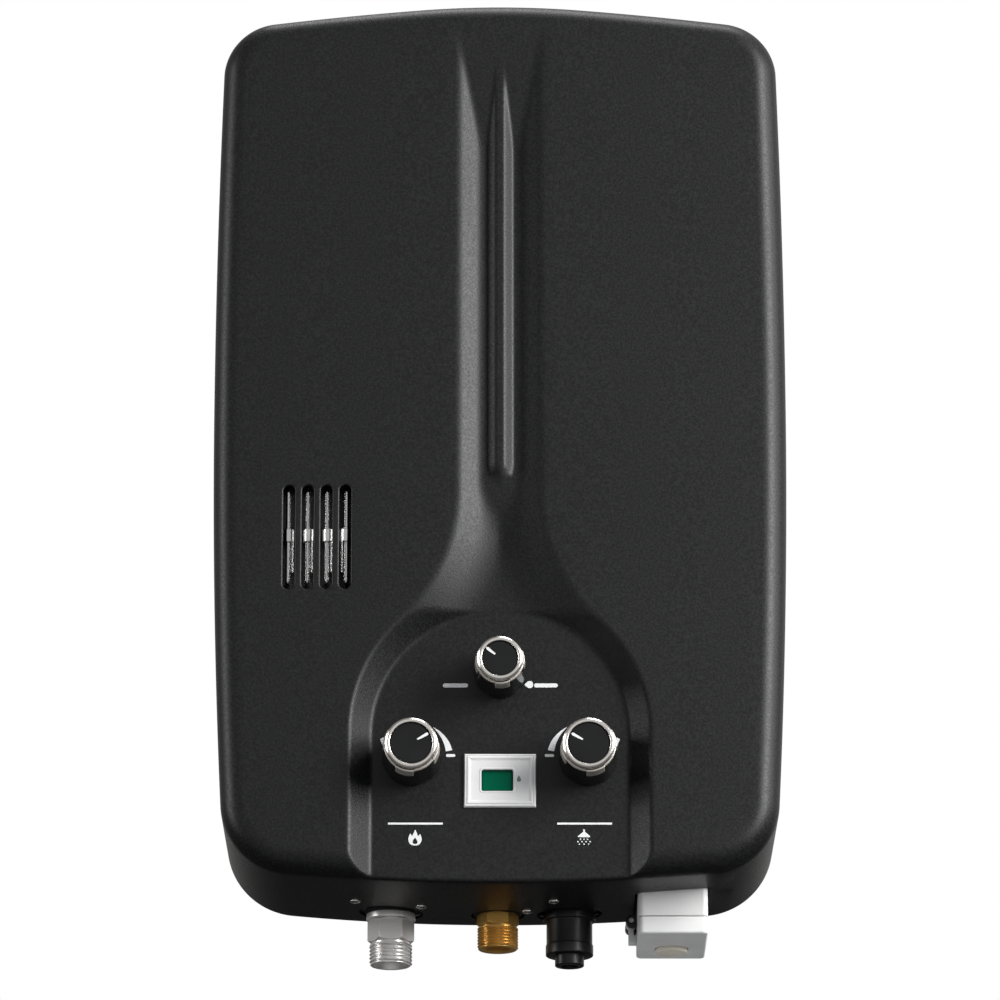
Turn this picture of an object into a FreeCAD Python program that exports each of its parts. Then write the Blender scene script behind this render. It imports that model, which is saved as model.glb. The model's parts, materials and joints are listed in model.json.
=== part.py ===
"""Portable propane water heater: one STEP file per sub-part, in millimetres.

Origin at the centre of the back plate's rear face, +Z up, the control panel facing -Y.
"""
import FreeCAD
import Part
import math
import os

# ---- casing outline: a chain of tangent arcs whose centres stay put when it is inset ----
HEIGHT = 448.0            # lowest to highest point on the centre line
TOP_Z = HEIGHT / 2
BOTTOM_Z = -HEIGHT / 2
HALF_WIDTH = 140.0        # at the waist, where the side arcs meet
WAIST_Z = 15.0
SIDE_UPPER_R = 5600.0
SIDE_LOWER_R = 3600.0
CROWN_R = 520.0           # middle of the top edge
CROWN_HALF = 40.0
FLANK_R = 2200.0          # the rest of the top edge
TOP_CORNER_R = 28.0
BOTTOM_CORNER_R = 36.0
BOTTOM_R = 1100.0

# ---- front cover ----
DEPTH = 102.0             # wall to the front face on the centre line
FACE_R = 3000.0           # sideways crown of the front face
EDGE_R = 12.0             # rounded front edge
SHEET = 1.2
COVER_BACK_GAP = 1.5      # rear edge of the cover, in front of the wall
CHANNEL_HALF = 20.4
CHANNEL_WALL = 11.0       # width of the sloping wall
CHANNEL_DEPTH = 5.0
NECK_R = 90.0             # concave flare between channel and arch
RAMP_START_Z = TOP_Z - 74.0      # above this the channel runs out to the face
RAMP_LENGTH = 55.0
ARCH_Z = BOTTOM_Z + 73.0
ARCH_OUTER_R = 73.5
ARCH_WALL = 11.5
PANEL_DEPTH = 9.5
RIB_HALF = 6.5
RIB_WALL = 4.5
RIB_HEIGHT = 3.4
RIB_END_Z = ARCH_Z + 127.0
TOOL_LEAD = 3.0           # how far cutting tools start outside the surface

# ---- vent slots and the guard behind them ----
SLOT_COUNT = 4
SLOT_PITCH = 9.1
SLOT_WIDTH = 5.6
SLOT_HEIGHT = 52.5
SLOT_X = -88.7            # middle of the row
SLOT_RISE = 170.0         # middle of the slots, above the casing's lowest point
SLOT_Z = BOTTOM_Z + SLOT_RISE
ROD_PITCH = 9.4
ROD_R = 1.3
ROD_BEHIND_FACE = 4.6     # rod axis behind the crowned front face
ROD_BEND_R = 3.0          # bend at each end, back into the frame's sheet
ROD_END_GAP = 0.8         # rod's end inside the slot's end
ROD_LIFT = 1.4            # rods sit this much higher than the slots
CLIP_Z = SLOT_Z + 1.7
CLIP_SIZE = (4.8, 3.8, 6.9)
STUD_R = 0.65
STUD_LENGTH = 15.0
STUD_OFFSET = 2.1
GUARD_MARGIN = 5.0        # frame beyond the outer rods
GUARD_LAP = 2.0           # frame beyond the slots' ends
GUARD_SHEET = 1.0
CLIP_FRONT = 0.8          # clip in front of its rod
CLIP_SHIFT = 0.4
CLIP_CHAMFER = 0.4

# ---- knobs ----
KNOB_LENGTH = 29.0        # from the panel to the front of the chrome ring
KNOB_GAP = 0.4            # between the knob and the panel
KNOB_CORNER = 1.04        # facet corners beyond the round cone that trims them
KNOB_FLOOR = 3.0          # between the spindle's end and the face disc
COLLAR_PROUD = 0.5
SPINDLE_R = 3.0
RUNNING_FIT = 0.05
SPINDLE_HOLE_R = 5.0
SPINDLE_DEPTH = 10.0      # length held in the valve's boss
RING_WIDTH = 2.4
RING_THICK = 2.4
RING_GROOVE = 0.9         # depth of the neck behind the ring
RING_BACK_CHAMFER = 0.4
RING_OUTER_CHAMFER = 0.8
RING_INNER_CHAMFER = 0.5
NECK_LENGTH = 1.7
COLLAR_LENGTH = 1.8
LUG_LENGTH = 6.0
LUG_COUNT = 4
LUG_TURN = 45.0           # first lug after the pointer
LUG_PROUD = 0.35
LUG_ROOT = 1.2            # how far the lugs reach into the knob
CAP_RECESS = 0.8
# pointer: degrees from +X towards +Z on the right-hand knob; the left-hand one is its mirror image
SIDE_KNOB = {"base_r": 14.2, "ring_r": 12.5, "x": 42.4, "z": BOTTOM_Z + 61.5, "lug": 9.2, "pointer": 150.0}
SEASON_KNOB = {"base_r": 12.6, "ring_r": 11.0, "x": 0.0, "z": BOTTOM_Z + 103.4, "lug": 7.2, "pointer": 141.0}

# ---- display ----
BEZEL_SIZE = (34.6, 26.4)
BEZEL_Z = BOTTOM_Z + 50.0
BEZEL_PROUD = 2.2
BEZEL_RIM = 3.0
BEZEL_DISH = 0.7
BEZEL_DRAFT = 0.4
BEZEL_FIT = 0.2
BEZEL_CUT = (29.0, 20.6)  # cut-out in the panel
WINDOW_SIZE = (15.2, 10.6)
WINDOW_X = -1.3
WINDOW_THICK = 1.4
WINDOW_PROUD = 0.4
BOARD_SIZE = (42.0, 31.0)
BOARD_THICK = 1.6
BOARD_SOCKET = (10.0, 5.0, 8.0)
BOARD_SOCKET_INSET = 2.0

# ---- back plate ----
PLATE = 1.2
PLATE_FIT = 0.4           # between the plate's flange and the cover
FLANGE_DEPTH = 8.0
TAB_HALF = 20.0
TAB_TOP_Z = TOP_Z + 17.0
HOOK_HOLE_R = 5.0
HOOK_HOLE_Z = TAB_TOP_Z - TAB_HALF / 2
WALL_BOLT_HALF = HALF_WIDTH - 25.0
WALL_BOLT_Z = TOP_Z - 64.0
WALL_BOLT_R = 2.75
AIR_SLOT_COUNT = 5
AIR_SLOT = (60.0, 5.0)
AIR_SLOT_PITCH = 12.0
AIR_SLOT_Z = BOTTOM_Z + 96.0

# ---- pipe ends, all on one line in front of the wall ----
PORT_Y = -22.0
OUTLET_X = -53.3
GAS_X = -1.1
WATER_X = 33.9
THREAD_R = 10.4775        # half-inch pipe thread
THREAD_PITCH = 1.814
THREAD_DEPTH = 1.0
THREAD_CHAMFER = 0.6
CREST_SHARE = 0.3         # of the pitch: flat crest, slope and root
SLOPE_SHARE = 0.3
ROOT_SHARE = 0.1
OUTLET_THREAD_LENGTH = 9.0
OUTLET_END_Z = BOTTOM_Z - 25.0
GAS_THREAD_R = 10.0
GAS_THREAD_PITCH = 1.5
GAS_THREAD_DEPTH = 0.8
GAS_THREAD_LENGTH = 9.5
GAS_END_Z = BOTTOM_Z - 17.0
WATER_END_Z = BOTTOM_Z - 25.3
SPIGOT_R = 7.1
SPIGOT_LENGTH = 5.1
PORT_FLANGE_Z = BOTTOM_Z + 0.5  # top of the collar, under the gasket
BARREL_R = 9.0
GASKET_R = 12.0
NUT_AF = 24.0
NUT_HEIGHT = 6.0
NUT_ROOM = 1.0            # bracket cut back around each nut
OUTLET_HEX = (11.3, 22.5)  # lower and upper face of the hexagon, above the pipe's end
OUTLET_HEX_AF = 19.8
OUTLET_WALL = 2.4
THREAD_RELIEF = 1.2
GAS_BORE_R = 6.0
GAS_HEX_LOW = 11.3
GAS_HEX_AF = 17.8
WATER_BORE_R = 4.0
WATER_RING_R = 11.6
WATER_RING_HEIGHT = 5.2
WATER_BARREL_R = 11.2
WATER_FLANGE_R = 12.8
WATER_FLANGE_HEIGHT = 3.5
PORT_NECK_R = 11.0        # cast neck around each inlet's barrel
GAS_NECK_LENGTH = 8.0
WATER_NECK_LENGTH = 6.0
PORT_HOLES = {"outlet": 15.7, "gas": 13.0, "water": 15.9}
SHELF_X = (-80.0, 62.0)
SHELF_DEPTH = 58.0
SHELF_THICK = 1.5
SHELF_GAP = 0.3
SHELF_WEB_HEIGHT = 10.0
SHELF_FLANGE_HEIGHT = 18.0
SCREW_R = 1.6
SCREW_HEAD_R = 2.6
SCREW_HEAD_HEIGHT = 1.2
BOTTOM_SCREWS = [(-70.2, -45.7), (-38.4, -40.2), (13.2, -32.5), (26.1, -52.6)]

# ---- battery box ----
BOX_X = 83.6
BOX_WIDTH = 33.6
BOX_FRONT_Y = -61.0
BOX_REAR_Y = -4.0
BOX_WALL = 1.8
BOX_CORNER_R = 2.8
BOX_GAP = 1.5             # around the box in the cover's bottom
PART_Z = BOTTOM_Z - 8.8   # parting line between box and lid
PART_GAP = 0.4
LID_BOTTOM_Z = PART_Z - 8.7
LID_FLOOR = 2.0
LID_EDGE_R = 1.2
CELL_R = 13.1
CELL_LENGTH = 48.0
CELL_GAP = 0.2
NUB_R = 3.2
NUB_HEIGHT = 1.8
CONTACT_THICK = 0.4
BUTTON_R = 7.8
BUTTON_Y = -25.0
BUTTON_PROUD = 2.4
BUTTON_TRAVEL = 1.8
BUTTON_CENTRE_R = 2.73
BUTTON_FACE_FALL = 0.1    # face's slope out to its rim
BUTTON_RIM = (0.9, 0.5)   # rim's width, and its depth behind the centre
BUTTON_SIDE = 1.2
BUTTON_ROOM = 0.1         # between the pressed button and the lid's floor
HINGE_X = 64.0
HINGE_Z = BOTTOM_Z - 4.0
HINGE_PIN_R = 1.2
BARREL_OUT_R = 2.7
EAR_R = 2.5
EAR_Y = (-23.4, -16.6)
BRACKET_Y = (-30.0, -8.0)
EAR_GAP = 0.6             # between the lid's ear and the bracket's barrels
EAR_DROP = 5.0            # ear's foot below the parting line
BOX_PAD = (20.0, 20.0)    # width and height of the box's seat on the back plate
BOX_PAD_DROP = 6.0
BRACKET_TOP_Z = HINGE_Z + 23.0
CLEARANCE = 0.3

# ---- valves ----
VALVE_Y = -38.0
VALVE_Z = SIDE_KNOB["z"]
GAS_BODY_X = (-62.0, 2.0)
GAS_BODY_R = 17.0
GAS_CHAMBER_R = 11.0
GAS_SOLENOID_SEAT = 14.0  # solid end that the solenoid bolts to
GAS_END_WALL = 6.0
GAS_BORE_OVER = 3.0       # inlet's bore, past the valve's axis
GAS_RISER_X = -20.0
GAS_RISER_R = 10.0
VALVE_SEAT_X = -12.0
VALVE_DISC_R = 8.0
SEAT_LEDGE = 2.0          # disc's lap on its seat
SEAT_LAP = 0.5
KNOB_BOSS_R = 12.0
KNOB_BOSS_FRONT_Y = -62.0
WATER_COVER_X = 12.0
DIAPHRAGM_X = 21.0
DIAPHRAGM_THICK = 1.0
WATER_BODY_END_X = 66.0
WATER_BODY_R = 19.0
WATER_BODY_WALL = 6.0
WATER_END_WALL = 14.0
PIPE_BOSS_LENGTH = 8.0    # boss that takes the cold pipe
PIPE_BOSS_WALL = 4.0
WATER_MOUTH_DEPTH = 6.0   # wide mouth behind the diaphragm
WATER_COVER_STEP = 6.5    # flange beyond the cover's drum
WATER_COVER_WALL = 3.4
DIAPHRAGM_INSET = 0.5
VALVE_FLANGE_R = 26.0
VALVE_MOUTH_R = 18.0
VALVE_FLANGE_THICK = 5.0
VALVE_SCREW_COUNT = 6
VALVE_SCREW_PCD = 45.0
VALVE_SCREW_HEAD = 2.0
ROD_RADIUS = 2.0
ROD_TRAVEL = 3.0
ROD_COLLAR_R = 4.5
ROD_COLLAR_THICK = 2.0
ROD_PLATE_R = 13.0        # plate that the diaphragm pushes
ROD_PLATE_THICK = 1.5
DISC_BACK = 2.0           # rear face of the valve's disc, behind its seat
SPRING_R = 6.0
SPRING_WIRE_R = 0.5
SPRING_LENGTH = 22.0
SPRING_TURNS = 6
SPRING_FACETS = 12
LEVER_THICK = 0.8
LEVER_GAP = 0.4           # between the lever and the rod's collar
LEVER_X = GAS_BODY_X[1] + ROD_TRAVEL + LEVER_THICK + 1.6
LEVER_Z = VALVE_Z - 28.5
LEVER_LENGTH = 26.0
LEVER_HUB_R = 1.3
LEVER_PIN_R = 0.6
LEVER_WIDTH = 5.0
SWITCH_SIZE = (14.0, 12.0, 9.0)
SWITCH_RISE = 1.0         # its top, above the lever's pin
SWITCH_FOOT_HALF = 2.0
SWITCH_FOOT_LAP = 0.05    # foot set into the cover's flange
FORK_THICK = 1.0
FORK_BACK = 1.5
FORK_DROP = 3.0
SOLENOID_R = 11.0
SOLENOID_LENGTH = 28.0
SOLENOID_FLANGE = 3.0
SOLENOID_PLUG = (14.0, 6.0, 3.0)

# ---- burner, exchanger and flue ----
TUBE_R = 6.35
TUBE_WALL = 0.8
BEND_R = 14.0
HOT_BEND_R = 13.0
RETURN_SLACK = 0.05       # return bends are this much tighter than half their pitch
CHAMBER_HALF = HALF_WIDTH - 45.0
CHAMBER_Y = (-90.0, -12.0)
CHAMBER_RISE = 154.0      # its lower edge, above the casing's lowest point
CHAMBER_HEIGHT = 170.0
CHAMBER_Z = (BOTTOM_Z + CHAMBER_RISE, BOTTOM_Z + CHAMBER_RISE + CHAMBER_HEIGHT)
CHAMBER_SHEET = 0.8
BURNER_PITCH = 20.0
BURNER_WIDTH = 12.0
BURNER_SIDE_GAP = 5.0     # between the outer bars and the chamber's walls, at least
BURNER_SIDE_COUNT = int((CHAMBER_HALF - BURNER_SIDE_GAP - BURNER_WIDTH / 2) / BURNER_PITCH)
BURNER_Y = (-84.0, -38.0)
BURNER_Z = (CHAMBER_Z[0] - 30.0, CHAMBER_Z[0] - 4.0)
BURNER_ROUND = 2.5
BURNER_BORE_R = 4.0
BURNER_BORE_RISE = 6.0    # bore's axis above the bar's foot
BURNER_WALL = 4.0         # front, rear and top walls
BURNER_THROAT_HALF = 1.0
FLAME_PORT_PITCH = 5
FLAME_PORT_HALF = 4.0
FLAME_PORT_WIDTH = 1.0
FLAME_PORT_DEPTH = 5.0
FRAME_Z = BURNER_Z[0] - 2.0
FRAME_POST = 6.0          # side wall left beside the rail's window
FRAME_WINDOW_Y = -36.0
FRAME_WINDOW_RISE = 14.0  # window's top above the rail
REST_THICK = 1.5          # rests under the burner bars
REST_HALF = 2.0
REST_INSET = 6.0
RAIL_Z = FRAME_Z - 4.0
NOZZLE_R = 2.5
NOZZLE_BORE_R = 0.6
NOZZLE_Z = RAIL_Z + 2.0
NOZZLE_LENGTH = 7.0
RAIL_HALF = CHAMBER_HALF - 7.0
RAIL_END = 4.0            # solid end of the rail
RAIL_Y = (-30.0, -18.0)
RAIL_HALF_HEIGHT = 6.0
RAIL_BORE_R = 3.5
MIXER_HALF = 30.0         # block that holds the season spindle
MIXER_Y = (-58.0, -20.0)
MIXER_RISE = 26.0         # its foot, below the rail
MIXER_TOP = 4.0           # its top, below the rail
MIXER_BORE_DEPTH = 14.0
SEASON_BOSS_R = 10.0
ELECTRODE_X = 14.0
ELECTRODE_LIFT = 8.0      # above the chamber's lower edge
ELECTRODE_R = 3.0         # ceramic sleeve
ELECTRODE_WIRE_R = 1.0
ELECTRODE_LENGTH = 34.0
ELECTRODE_OUT = 5.0       # wire's end in front of the chamber
SLEEVE_LENGTH = 12.0
SLEEVE_OUT = 3.0
IGNITER_X = 6.0           # outside the chamber
IGNITER_SIZE = (30.0, 34.0, 70.0)
IGNITER_CORNER_R = 3.0
IGNITER_PLUG = (6.0, 10.0, 6.0)
IGNITER_PLUG_PITCH = 9.0
IGNITER_PLUG_Y = -24.0
IGNITER_Z = CHAMBER_Z[0] - 26.0
CHAMBER_FOOT_X = CHAMBER_HALF - 15.0
CHAMBER_FOOT = (12.0, 8.0)
CHAMBER_FOOT_INSET = 10.0
EXCHANGER_Z = CHAMBER_Z[1] - 22.0
TUBE_ROWS = (-74.0, -50.0, -26.0)
FIN_PITCH = 7.5
FIN_THICK = 0.6
FIN_SIDE_GAP = 9.0        # between the outer fins and the chamber's walls, at least
FIN_SIDE_COUNT = int((CHAMBER_HALF - FIN_SIDE_GAP) / FIN_PITCH)
FIN_Z = (EXCHANGER_Z - 20.0, EXCHANGER_Z + 19.0)
HOOD_TOP_Z = TOP_Z - 34.0
HOOD_NECK_Z = TOP_Z - 9.0
NECK_HALF = 62.0
NECK_Y = (-78.0, -18.0)
FLUE_HALF = 56.0
FLUE_Y = (-72.0, -24.0)
GRILLE_LIP = 6.0
GRILLE_THICK = 1.5
GRILLE_BARS = 9
GRILLE_OPEN = 0.55        # share of the grille's pitch that is open
RISER_X = CHAMBER_HALF + 21.0
TUBE_STUB = 4.0           # tube ends outside the chamber
COLD_SWEEP = 52.0         # height of the cold pipe's slanting run
HOT_RUN_Z = BOTTOM_Z + 30.0
HOT_SWEEP = 30.0          # width and height of the hot pipe's slanting run
HOT_DROP = 18.0           # hot pipe's end, down inside the outlet
THERMOSTAT_RISE = 90.0    # above the chamber's lower edge
THERMOSTAT_Z = CHAMBER_Z[0] + THERMOSTAT_RISE
THERMOSTAT_R = 8.0
THERMOSTAT_THICK = 6.0
THERMOSTAT_BLADE = (6.0, 1.0, 6.0)

PANEL_Y = -(DEPTH - PANEL_DEPTH)
RIGHT, UP, BACK = FreeCAD.Vector(1, 0, 0), FreeCAD.Vector(0, 0, 1), FreeCAD.Vector(0, 1, 0)
DOWN, OUT = -UP, -BACK


def vec(x, y, z):
    return FreeCAD.Vector(x, y, z)


def block(x0, x1, y0, y1, z0, z1):
    return Part.makeBox(x1 - x0, y1 - y0, z1 - z0, vec(x0, y0, z0))


def rod(start, direction, radius, length):
    return Part.makeCylinder(radius, length, start, direction)


def pipe_ring(start, direction, outer, inner, length):
    return rod(start, direction, outer, length).cut(rod(start, direction, inner, length))


def hex_bar(x, y, z, across_flats, height):
    corner = across_flats / math.sqrt(3)
    points = [vec(x + corner * math.sin(k * math.pi / 3), y + corner * math.cos(k * math.pi / 3), z)
              for k in range(7)]
    return Part.Face(Part.makePolygon(points)).extrude(vec(0, 0, height))


def turned(profile, x, y):
    """Solid of revolution about the upright line through (x, y); profile is (radius, z) pairs."""
    points = [vec(x + r, y, z) for r, z in profile]
    return Part.Face(Part.makePolygon(points + points[:1])).revolve(vec(x, y, 0), UP, 360)


def fused(shapes):
    return shapes[0].multiFuse(shapes[1:]).removeSplitter() if len(shapes) > 1 else shapes[0]


def rounded_block(x0, x1, y0, y1, z0, z1, radius):
    """Block whose upright edges are rounded."""
    body = block(x0, x1, y0, y1, z0, z1)
    return body.makeFillet(radius, [e for e in body.Edges if e.BoundBox.ZLength > (z1 - z0) / 2])


def slot_cutter(x, z, width, height, y0, y1):
    """Upright or level stadium through the sheet, between two depths."""
    r = min(width, height) / 2
    dx, dz = width / 2 - r, height / 2 - r
    core = block(x - dx - (r if dz else 0), x + dx + (r if dz else 0), y0, y1,
                 z - dz - (r if dx else 0), z + dz + (r if dx else 0))
    ends = [rod(vec(x + s * dx, y0, z + s * dz), BACK, r, y1 - y0) for s in (-1, 1)]
    return fused([core] + ends)


# ---------------------------------------------------------------- casing outline

def circle_meet(c1, r1, c2, r2, near):
    """Meeting point of two circles in the XZ plane, the one nearest to a third point."""
    span = c2 - c1
    d = span.Length
    along = (r1 * r1 - r2 * r2 + d * d) / (2 * d)
    across = math.sqrt(r1 * r1 - along * along)
    unit = span / d
    side = vec(-unit.z, 0, unit.x)
    options = [c1 + unit * along + side * across, c1 + unit * along - side * across]
    return min(options, key=lambda p: (p - near).Length)


def outline_arcs():
    """(centre, radius) of each arc of the right-hand half, from bottom centre to top centre."""
    bottom = vec(0, 0, BOTTOM_Z + BOTTOM_R)
    lower = vec(HALF_WIDTH - SIDE_LOWER_R, 0, WAIST_Z)
    upper = vec(HALF_WIDTH - SIDE_UPPER_R, 0, WAIST_Z)
    crown = vec(0, 0, TOP_Z - CROWN_R)
    lean = math.asin(CROWN_HALF / CROWN_R)
    flank = crown + vec(math.sin(lean), 0, math.cos(lean)) * (CROWN_R - FLANK_R)
    low_corner = circle_meet(bottom, BOTTOM_R - BOTTOM_CORNER_R, lower, SIDE_LOWER_R - BOTTOM_CORNER_R,
                             vec(HALF_WIDTH, 0, BOTTOM_Z))
    top_corner = circle_meet(upper, SIDE_UPPER_R - TOP_CORNER_R, flank, FLANK_R - TOP_CORNER_R,
                             vec(HALF_WIDTH, 0, TOP_Z))
    return [(bottom, BOTTOM_R), (low_corner, BOTTOM_CORNER_R), (lower, SIDE_LOWER_R),
            (upper, SIDE_UPPER_R), (top_corner, TOP_CORNER_R), (flank, FLANK_R), (crown, CROWN_R)]


def join_point(one, two, inset):
    """Where two tangent arcs meet, once both are inset."""
    big, small = (one, two) if one[1] > two[1] else (two, one)
    toward = small[0] - big[0]
    return big[0] + toward / toward.Length * (big[1] - inset)


def arc_edge(centre, radius, start, end):
    middle = (start - centre) + (end - centre)
    return Part.Arc(start, centre + middle / middle.Length * radius, end).toShape()


def outline(inset, y):
    """Closed wire of the casing outline, inset by a distance, in the plane at y."""
    arcs = outline_arcs()
    marks = [vec(0, 0, BOTTOM_Z + inset)]
    marks += [join_point(a, b, inset) for a, b in zip(arcs, arcs[1:])]
    marks.append(vec(0, 0, TOP_Z - inset))
    place = vec(0, y, 0)
    mirror = FreeCAD.Matrix()
    mirror.A11 = -1
    edges = []
    for (centre, radius), start, end in zip(arcs, marks, marks[1:]):
        edges.append((centre, radius - inset, start, end))
    half = [arc_edge(c + place, r, s + place, e + place) for c, r, s, e in edges]
    other = [arc_edge(mirror * c + place, r, mirror * e + place, mirror * s + place)
             for c, r, s, e in reversed(edges)]
    return Part.Wire(half + other)


def slab(inset, y_front, y_back):
    """Outline solid between two depths."""
    return Part.Face(outline(inset, y_back)).extrude(vec(0, y_front - y_back, 0))


def bottom_z(x):
    return BOTTOM_Z + BOTTOM_R - math.sqrt(BOTTOM_R ** 2 - x ** 2)


def face_y(x):
    """Depth of the crowned front face at a distance from the centre line."""
    return -DEPTH + FACE_R - math.sqrt(FACE_R ** 2 - x ** 2)


# ---------------------------------------------------------------- front cover

def cover_body(inset, y_back):
    blank = slab(inset, -DEPTH - TOOL_LEAD, y_back)
    face = rod(vec(0, FACE_R - DEPTH, BOTTOM_Z - EDGE_R), UP, FACE_R - inset, HEIGHT + 2 * EDGE_R)
    body = blank.common(face)
    front = min(body.Faces, key=lambda f: f.CenterOfMass.y)
    return body.makeFillet(EDGE_R - inset, front.Edges)


def flume_wire(grow, y):
    """Channel, flare and arch as one outline, grown by a distance."""
    lean = math.asin((CHANNEL_HALF + NECK_R) / (ARCH_OUTER_R + NECK_R))
    neck_z = ARCH_Z + (ARCH_OUTER_R + NECK_R) * math.cos(lean)
    low, high = BOTTOM_Z - EDGE_R, TOP_Z + EDGE_R
    arch = vec(0, y, ARCH_Z)
    r_arch, r_neck, half = ARCH_OUTER_R + grow, NECK_R - grow, CHANNEL_HALF + grow
    edges = []
    for side in (1, -1):
        neck = vec(side * (CHANNEL_HALF + NECK_R), y, neck_z)
        springing = vec(side * r_arch, y, ARCH_Z)
        meet = arch + vec(side * math.sin(lean), 0, math.cos(lean)) * r_arch
        throat = vec(side * half, y, neck_z)
        part = [Part.makeLine(vec(side * r_arch, y, low), springing),
                arc_edge(arch, r_arch, springing, meet), arc_edge(neck, r_neck, meet, throat),
                Part.makeLine(throat, vec(side * half, y, high))]
        edges.append(part)
    top = Part.makeLine(vec(half, y, high), vec(-half, y, high))
    bottom = Part.makeLine(vec(-r_arch, y, low), vec(r_arch, y, low))
    return Part.Wire(Part.__sortEdges__(edges[0] + [top] + edges[1] + [bottom]))


def arch_wire(grow, y):
    r = ARCH_OUTER_R + grow
    low = BOTTOM_Z - EDGE_R
    corners = [vec(r, y, low), vec(r, y, ARCH_Z), vec(-r, y, ARCH_Z), vec(-r, y, low)]
    top = Part.Arc(corners[1], vec(0, y, ARCH_Z + r), corners[2]).toShape()
    return Part.Wire([Part.makeLine(corners[0], corners[1]), top, Part.makeLine(corners[2], corners[3]),
                      Part.makeLine(corners[3], corners[0])])


def rib_wire(grow, y):
    r = RIB_HALF + grow
    end_z, high = RIB_END_Z + RIB_HALF, TOP_Z + EDGE_R
    corners = [vec(r, y, high), vec(r, y, end_z), vec(-r, y, end_z), vec(-r, y, high)]
    low_end = Part.Arc(corners[1], vec(0, y, end_z - r), corners[2]).toShape()
    return Part.Wire([Part.makeLine(corners[0], corners[1]), low_end, Part.makeLine(corners[2], corners[3]),
                      Part.makeLine(corners[3], corners[0])])


def sloped_tool(wire, width, depth, offset):
    """Loft from outside the face to the floor; offset moves the whole surface inward."""
    slope = width / depth
    shift = offset * math.hypot(1, slope)
    levels = [(-TOOL_LEAD, -DEPTH - TOOL_LEAD), (depth + offset, -DEPTH + depth + offset)]
    wires = [wire(shift - slope * level, y) for level, y in levels]
    return Part.makeLoft(wires, True, True)


def ramp_limit(offset):
    """Keeps the channel's floor level, then lets it run out to the face near the top."""
    floor_y = -DEPTH + CHANNEL_DEPTH + offset
    run = RAMP_LENGTH / CHANNEL_DEPTH
    end_z = RAMP_START_Z + run * (CHANNEL_DEPTH + TOOL_LEAD)
    front_y = -DEPTH - 2 * TOOL_LEAD
    half = ARCH_OUTER_R + NECK_R
    low = BOTTOM_Z - 2 * EDGE_R
    corners = [vec(-half, front_y, low), vec(-half, floor_y, low), vec(-half, floor_y, RAMP_START_Z),
               vec(-half, floor_y - CHANNEL_DEPTH - TOOL_LEAD, end_z), vec(-half, front_y, end_z)]
    return Part.Face(Part.makePolygon(corners + corners[:1])).extrude(vec(2 * half, 0, 0))


def rib(offset):
    """Raised rib along the channel's floor; offset draws its surface inward."""
    slope = RIB_WALL / RIB_HEIGHT
    shift = -offset * (math.hypot(1, slope) - slope)
    crest_y = -DEPTH + CHANNEL_DEPTH - RIB_HEIGHT + offset
    root = RIB_HEIGHT + TOOL_LEAD
    wires = [rib_wire(shift - RIB_WALL, crest_y), rib_wire(shift - RIB_WALL + slope * root, crest_y + root)]
    return Part.makeLoft(wires, True, True)


def recess(offset):
    flume = sloped_tool(flume_wire, CHANNEL_WALL, CHANNEL_DEPTH, offset).common(ramp_limit(offset))
    arch = sloped_tool(arch_wire, ARCH_WALL, PANEL_DEPTH, offset)
    return flume.cut(rib(offset)).fuse(arch)


def slot_centres():
    return [SLOT_X + (k - (SLOT_COUNT - 1) / 2) * SLOT_PITCH for k in range(SLOT_COUNT)]


def cover_cutters():
    bottom_cut = (BOTTOM_Z - 2 * EDGE_R, BOTTOM_Z + EDGE_R)
    height = bottom_cut[1] - bottom_cut[0]
    tools = [rod(vec(x, PORT_Y, bottom_cut[0]), UP, PORT_HOLES[name], height)
             for name, x in (("outlet", OUTLET_X), ("gas", GAS_X), ("water", WATER_X))]
    tools += [rod(vec(x, y, bottom_cut[0]), UP, SCREW_R + CLEARANCE, height) for x, y in BOTTOM_SCREWS]
    half = BOX_WIDTH / 2 + BOX_GAP
    tools.append(rounded_block(BOX_X - half, BOX_X + half, BOX_FRONT_Y - BOX_GAP, BOX_REAR_Y + BOX_GAP,
                               *bottom_cut, BOX_CORNER_R + BOX_GAP))
    tools.append(block(-FLUE_HALF, FLUE_HALF, *FLUE_Y, TOP_Z - EDGE_R, TOP_Z + EDGE_R))
    tools += [slot_cutter(x, SLOT_Z, SLOT_WIDTH, SLOT_HEIGHT, -DEPTH - TOOL_LEAD, -DEPTH + EDGE_R)
              for x in slot_centres()]
    tools += [rod(vec(k["x"] * s, PANEL_Y - TOOL_LEAD, k["z"]), BACK, SPINDLE_HOLE_R, 2 * TOOL_LEAD)
              for k, s in ((SIDE_KNOB, 1), (SIDE_KNOB, -1), (SEASON_KNOB, 1))]
    w, h = BEZEL_CUT
    tools.append(block(-w / 2, w / 2, PANEL_Y - TOOL_LEAD, PANEL_Y + TOOL_LEAD,
                       BEZEL_Z - h / 2, BEZEL_Z + h / 2))
    return tools


def front_cover():
    outside = cover_body(0, -COVER_BACK_GAP).cut(recess(0))
    inside = cover_body(SHEET, SHEET).cut(recess(SHEET))
    return outside.cut(inside).cut(cover_cutters())


def cover_screws():
    shelf = shelf_bottom()
    screws = []
    for x, y in BOTTOM_SCREWS:
        seat = bottom_z(abs(x) - SCREW_HEAD_R)
        head = rod(vec(x, y, seat - SCREW_HEAD_HEIGHT), UP, SCREW_HEAD_R, SCREW_HEAD_HEIGHT)
        shank = rod(vec(x, y, seat - SCREW_HEAD_HEIGHT), UP, SCREW_R,
                    shelf + 2 * SHELF_THICK - seat + SCREW_HEAD_HEIGHT)
        screws.append(head.fuse(shank))
    return Part.makeCompound(screws)


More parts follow.
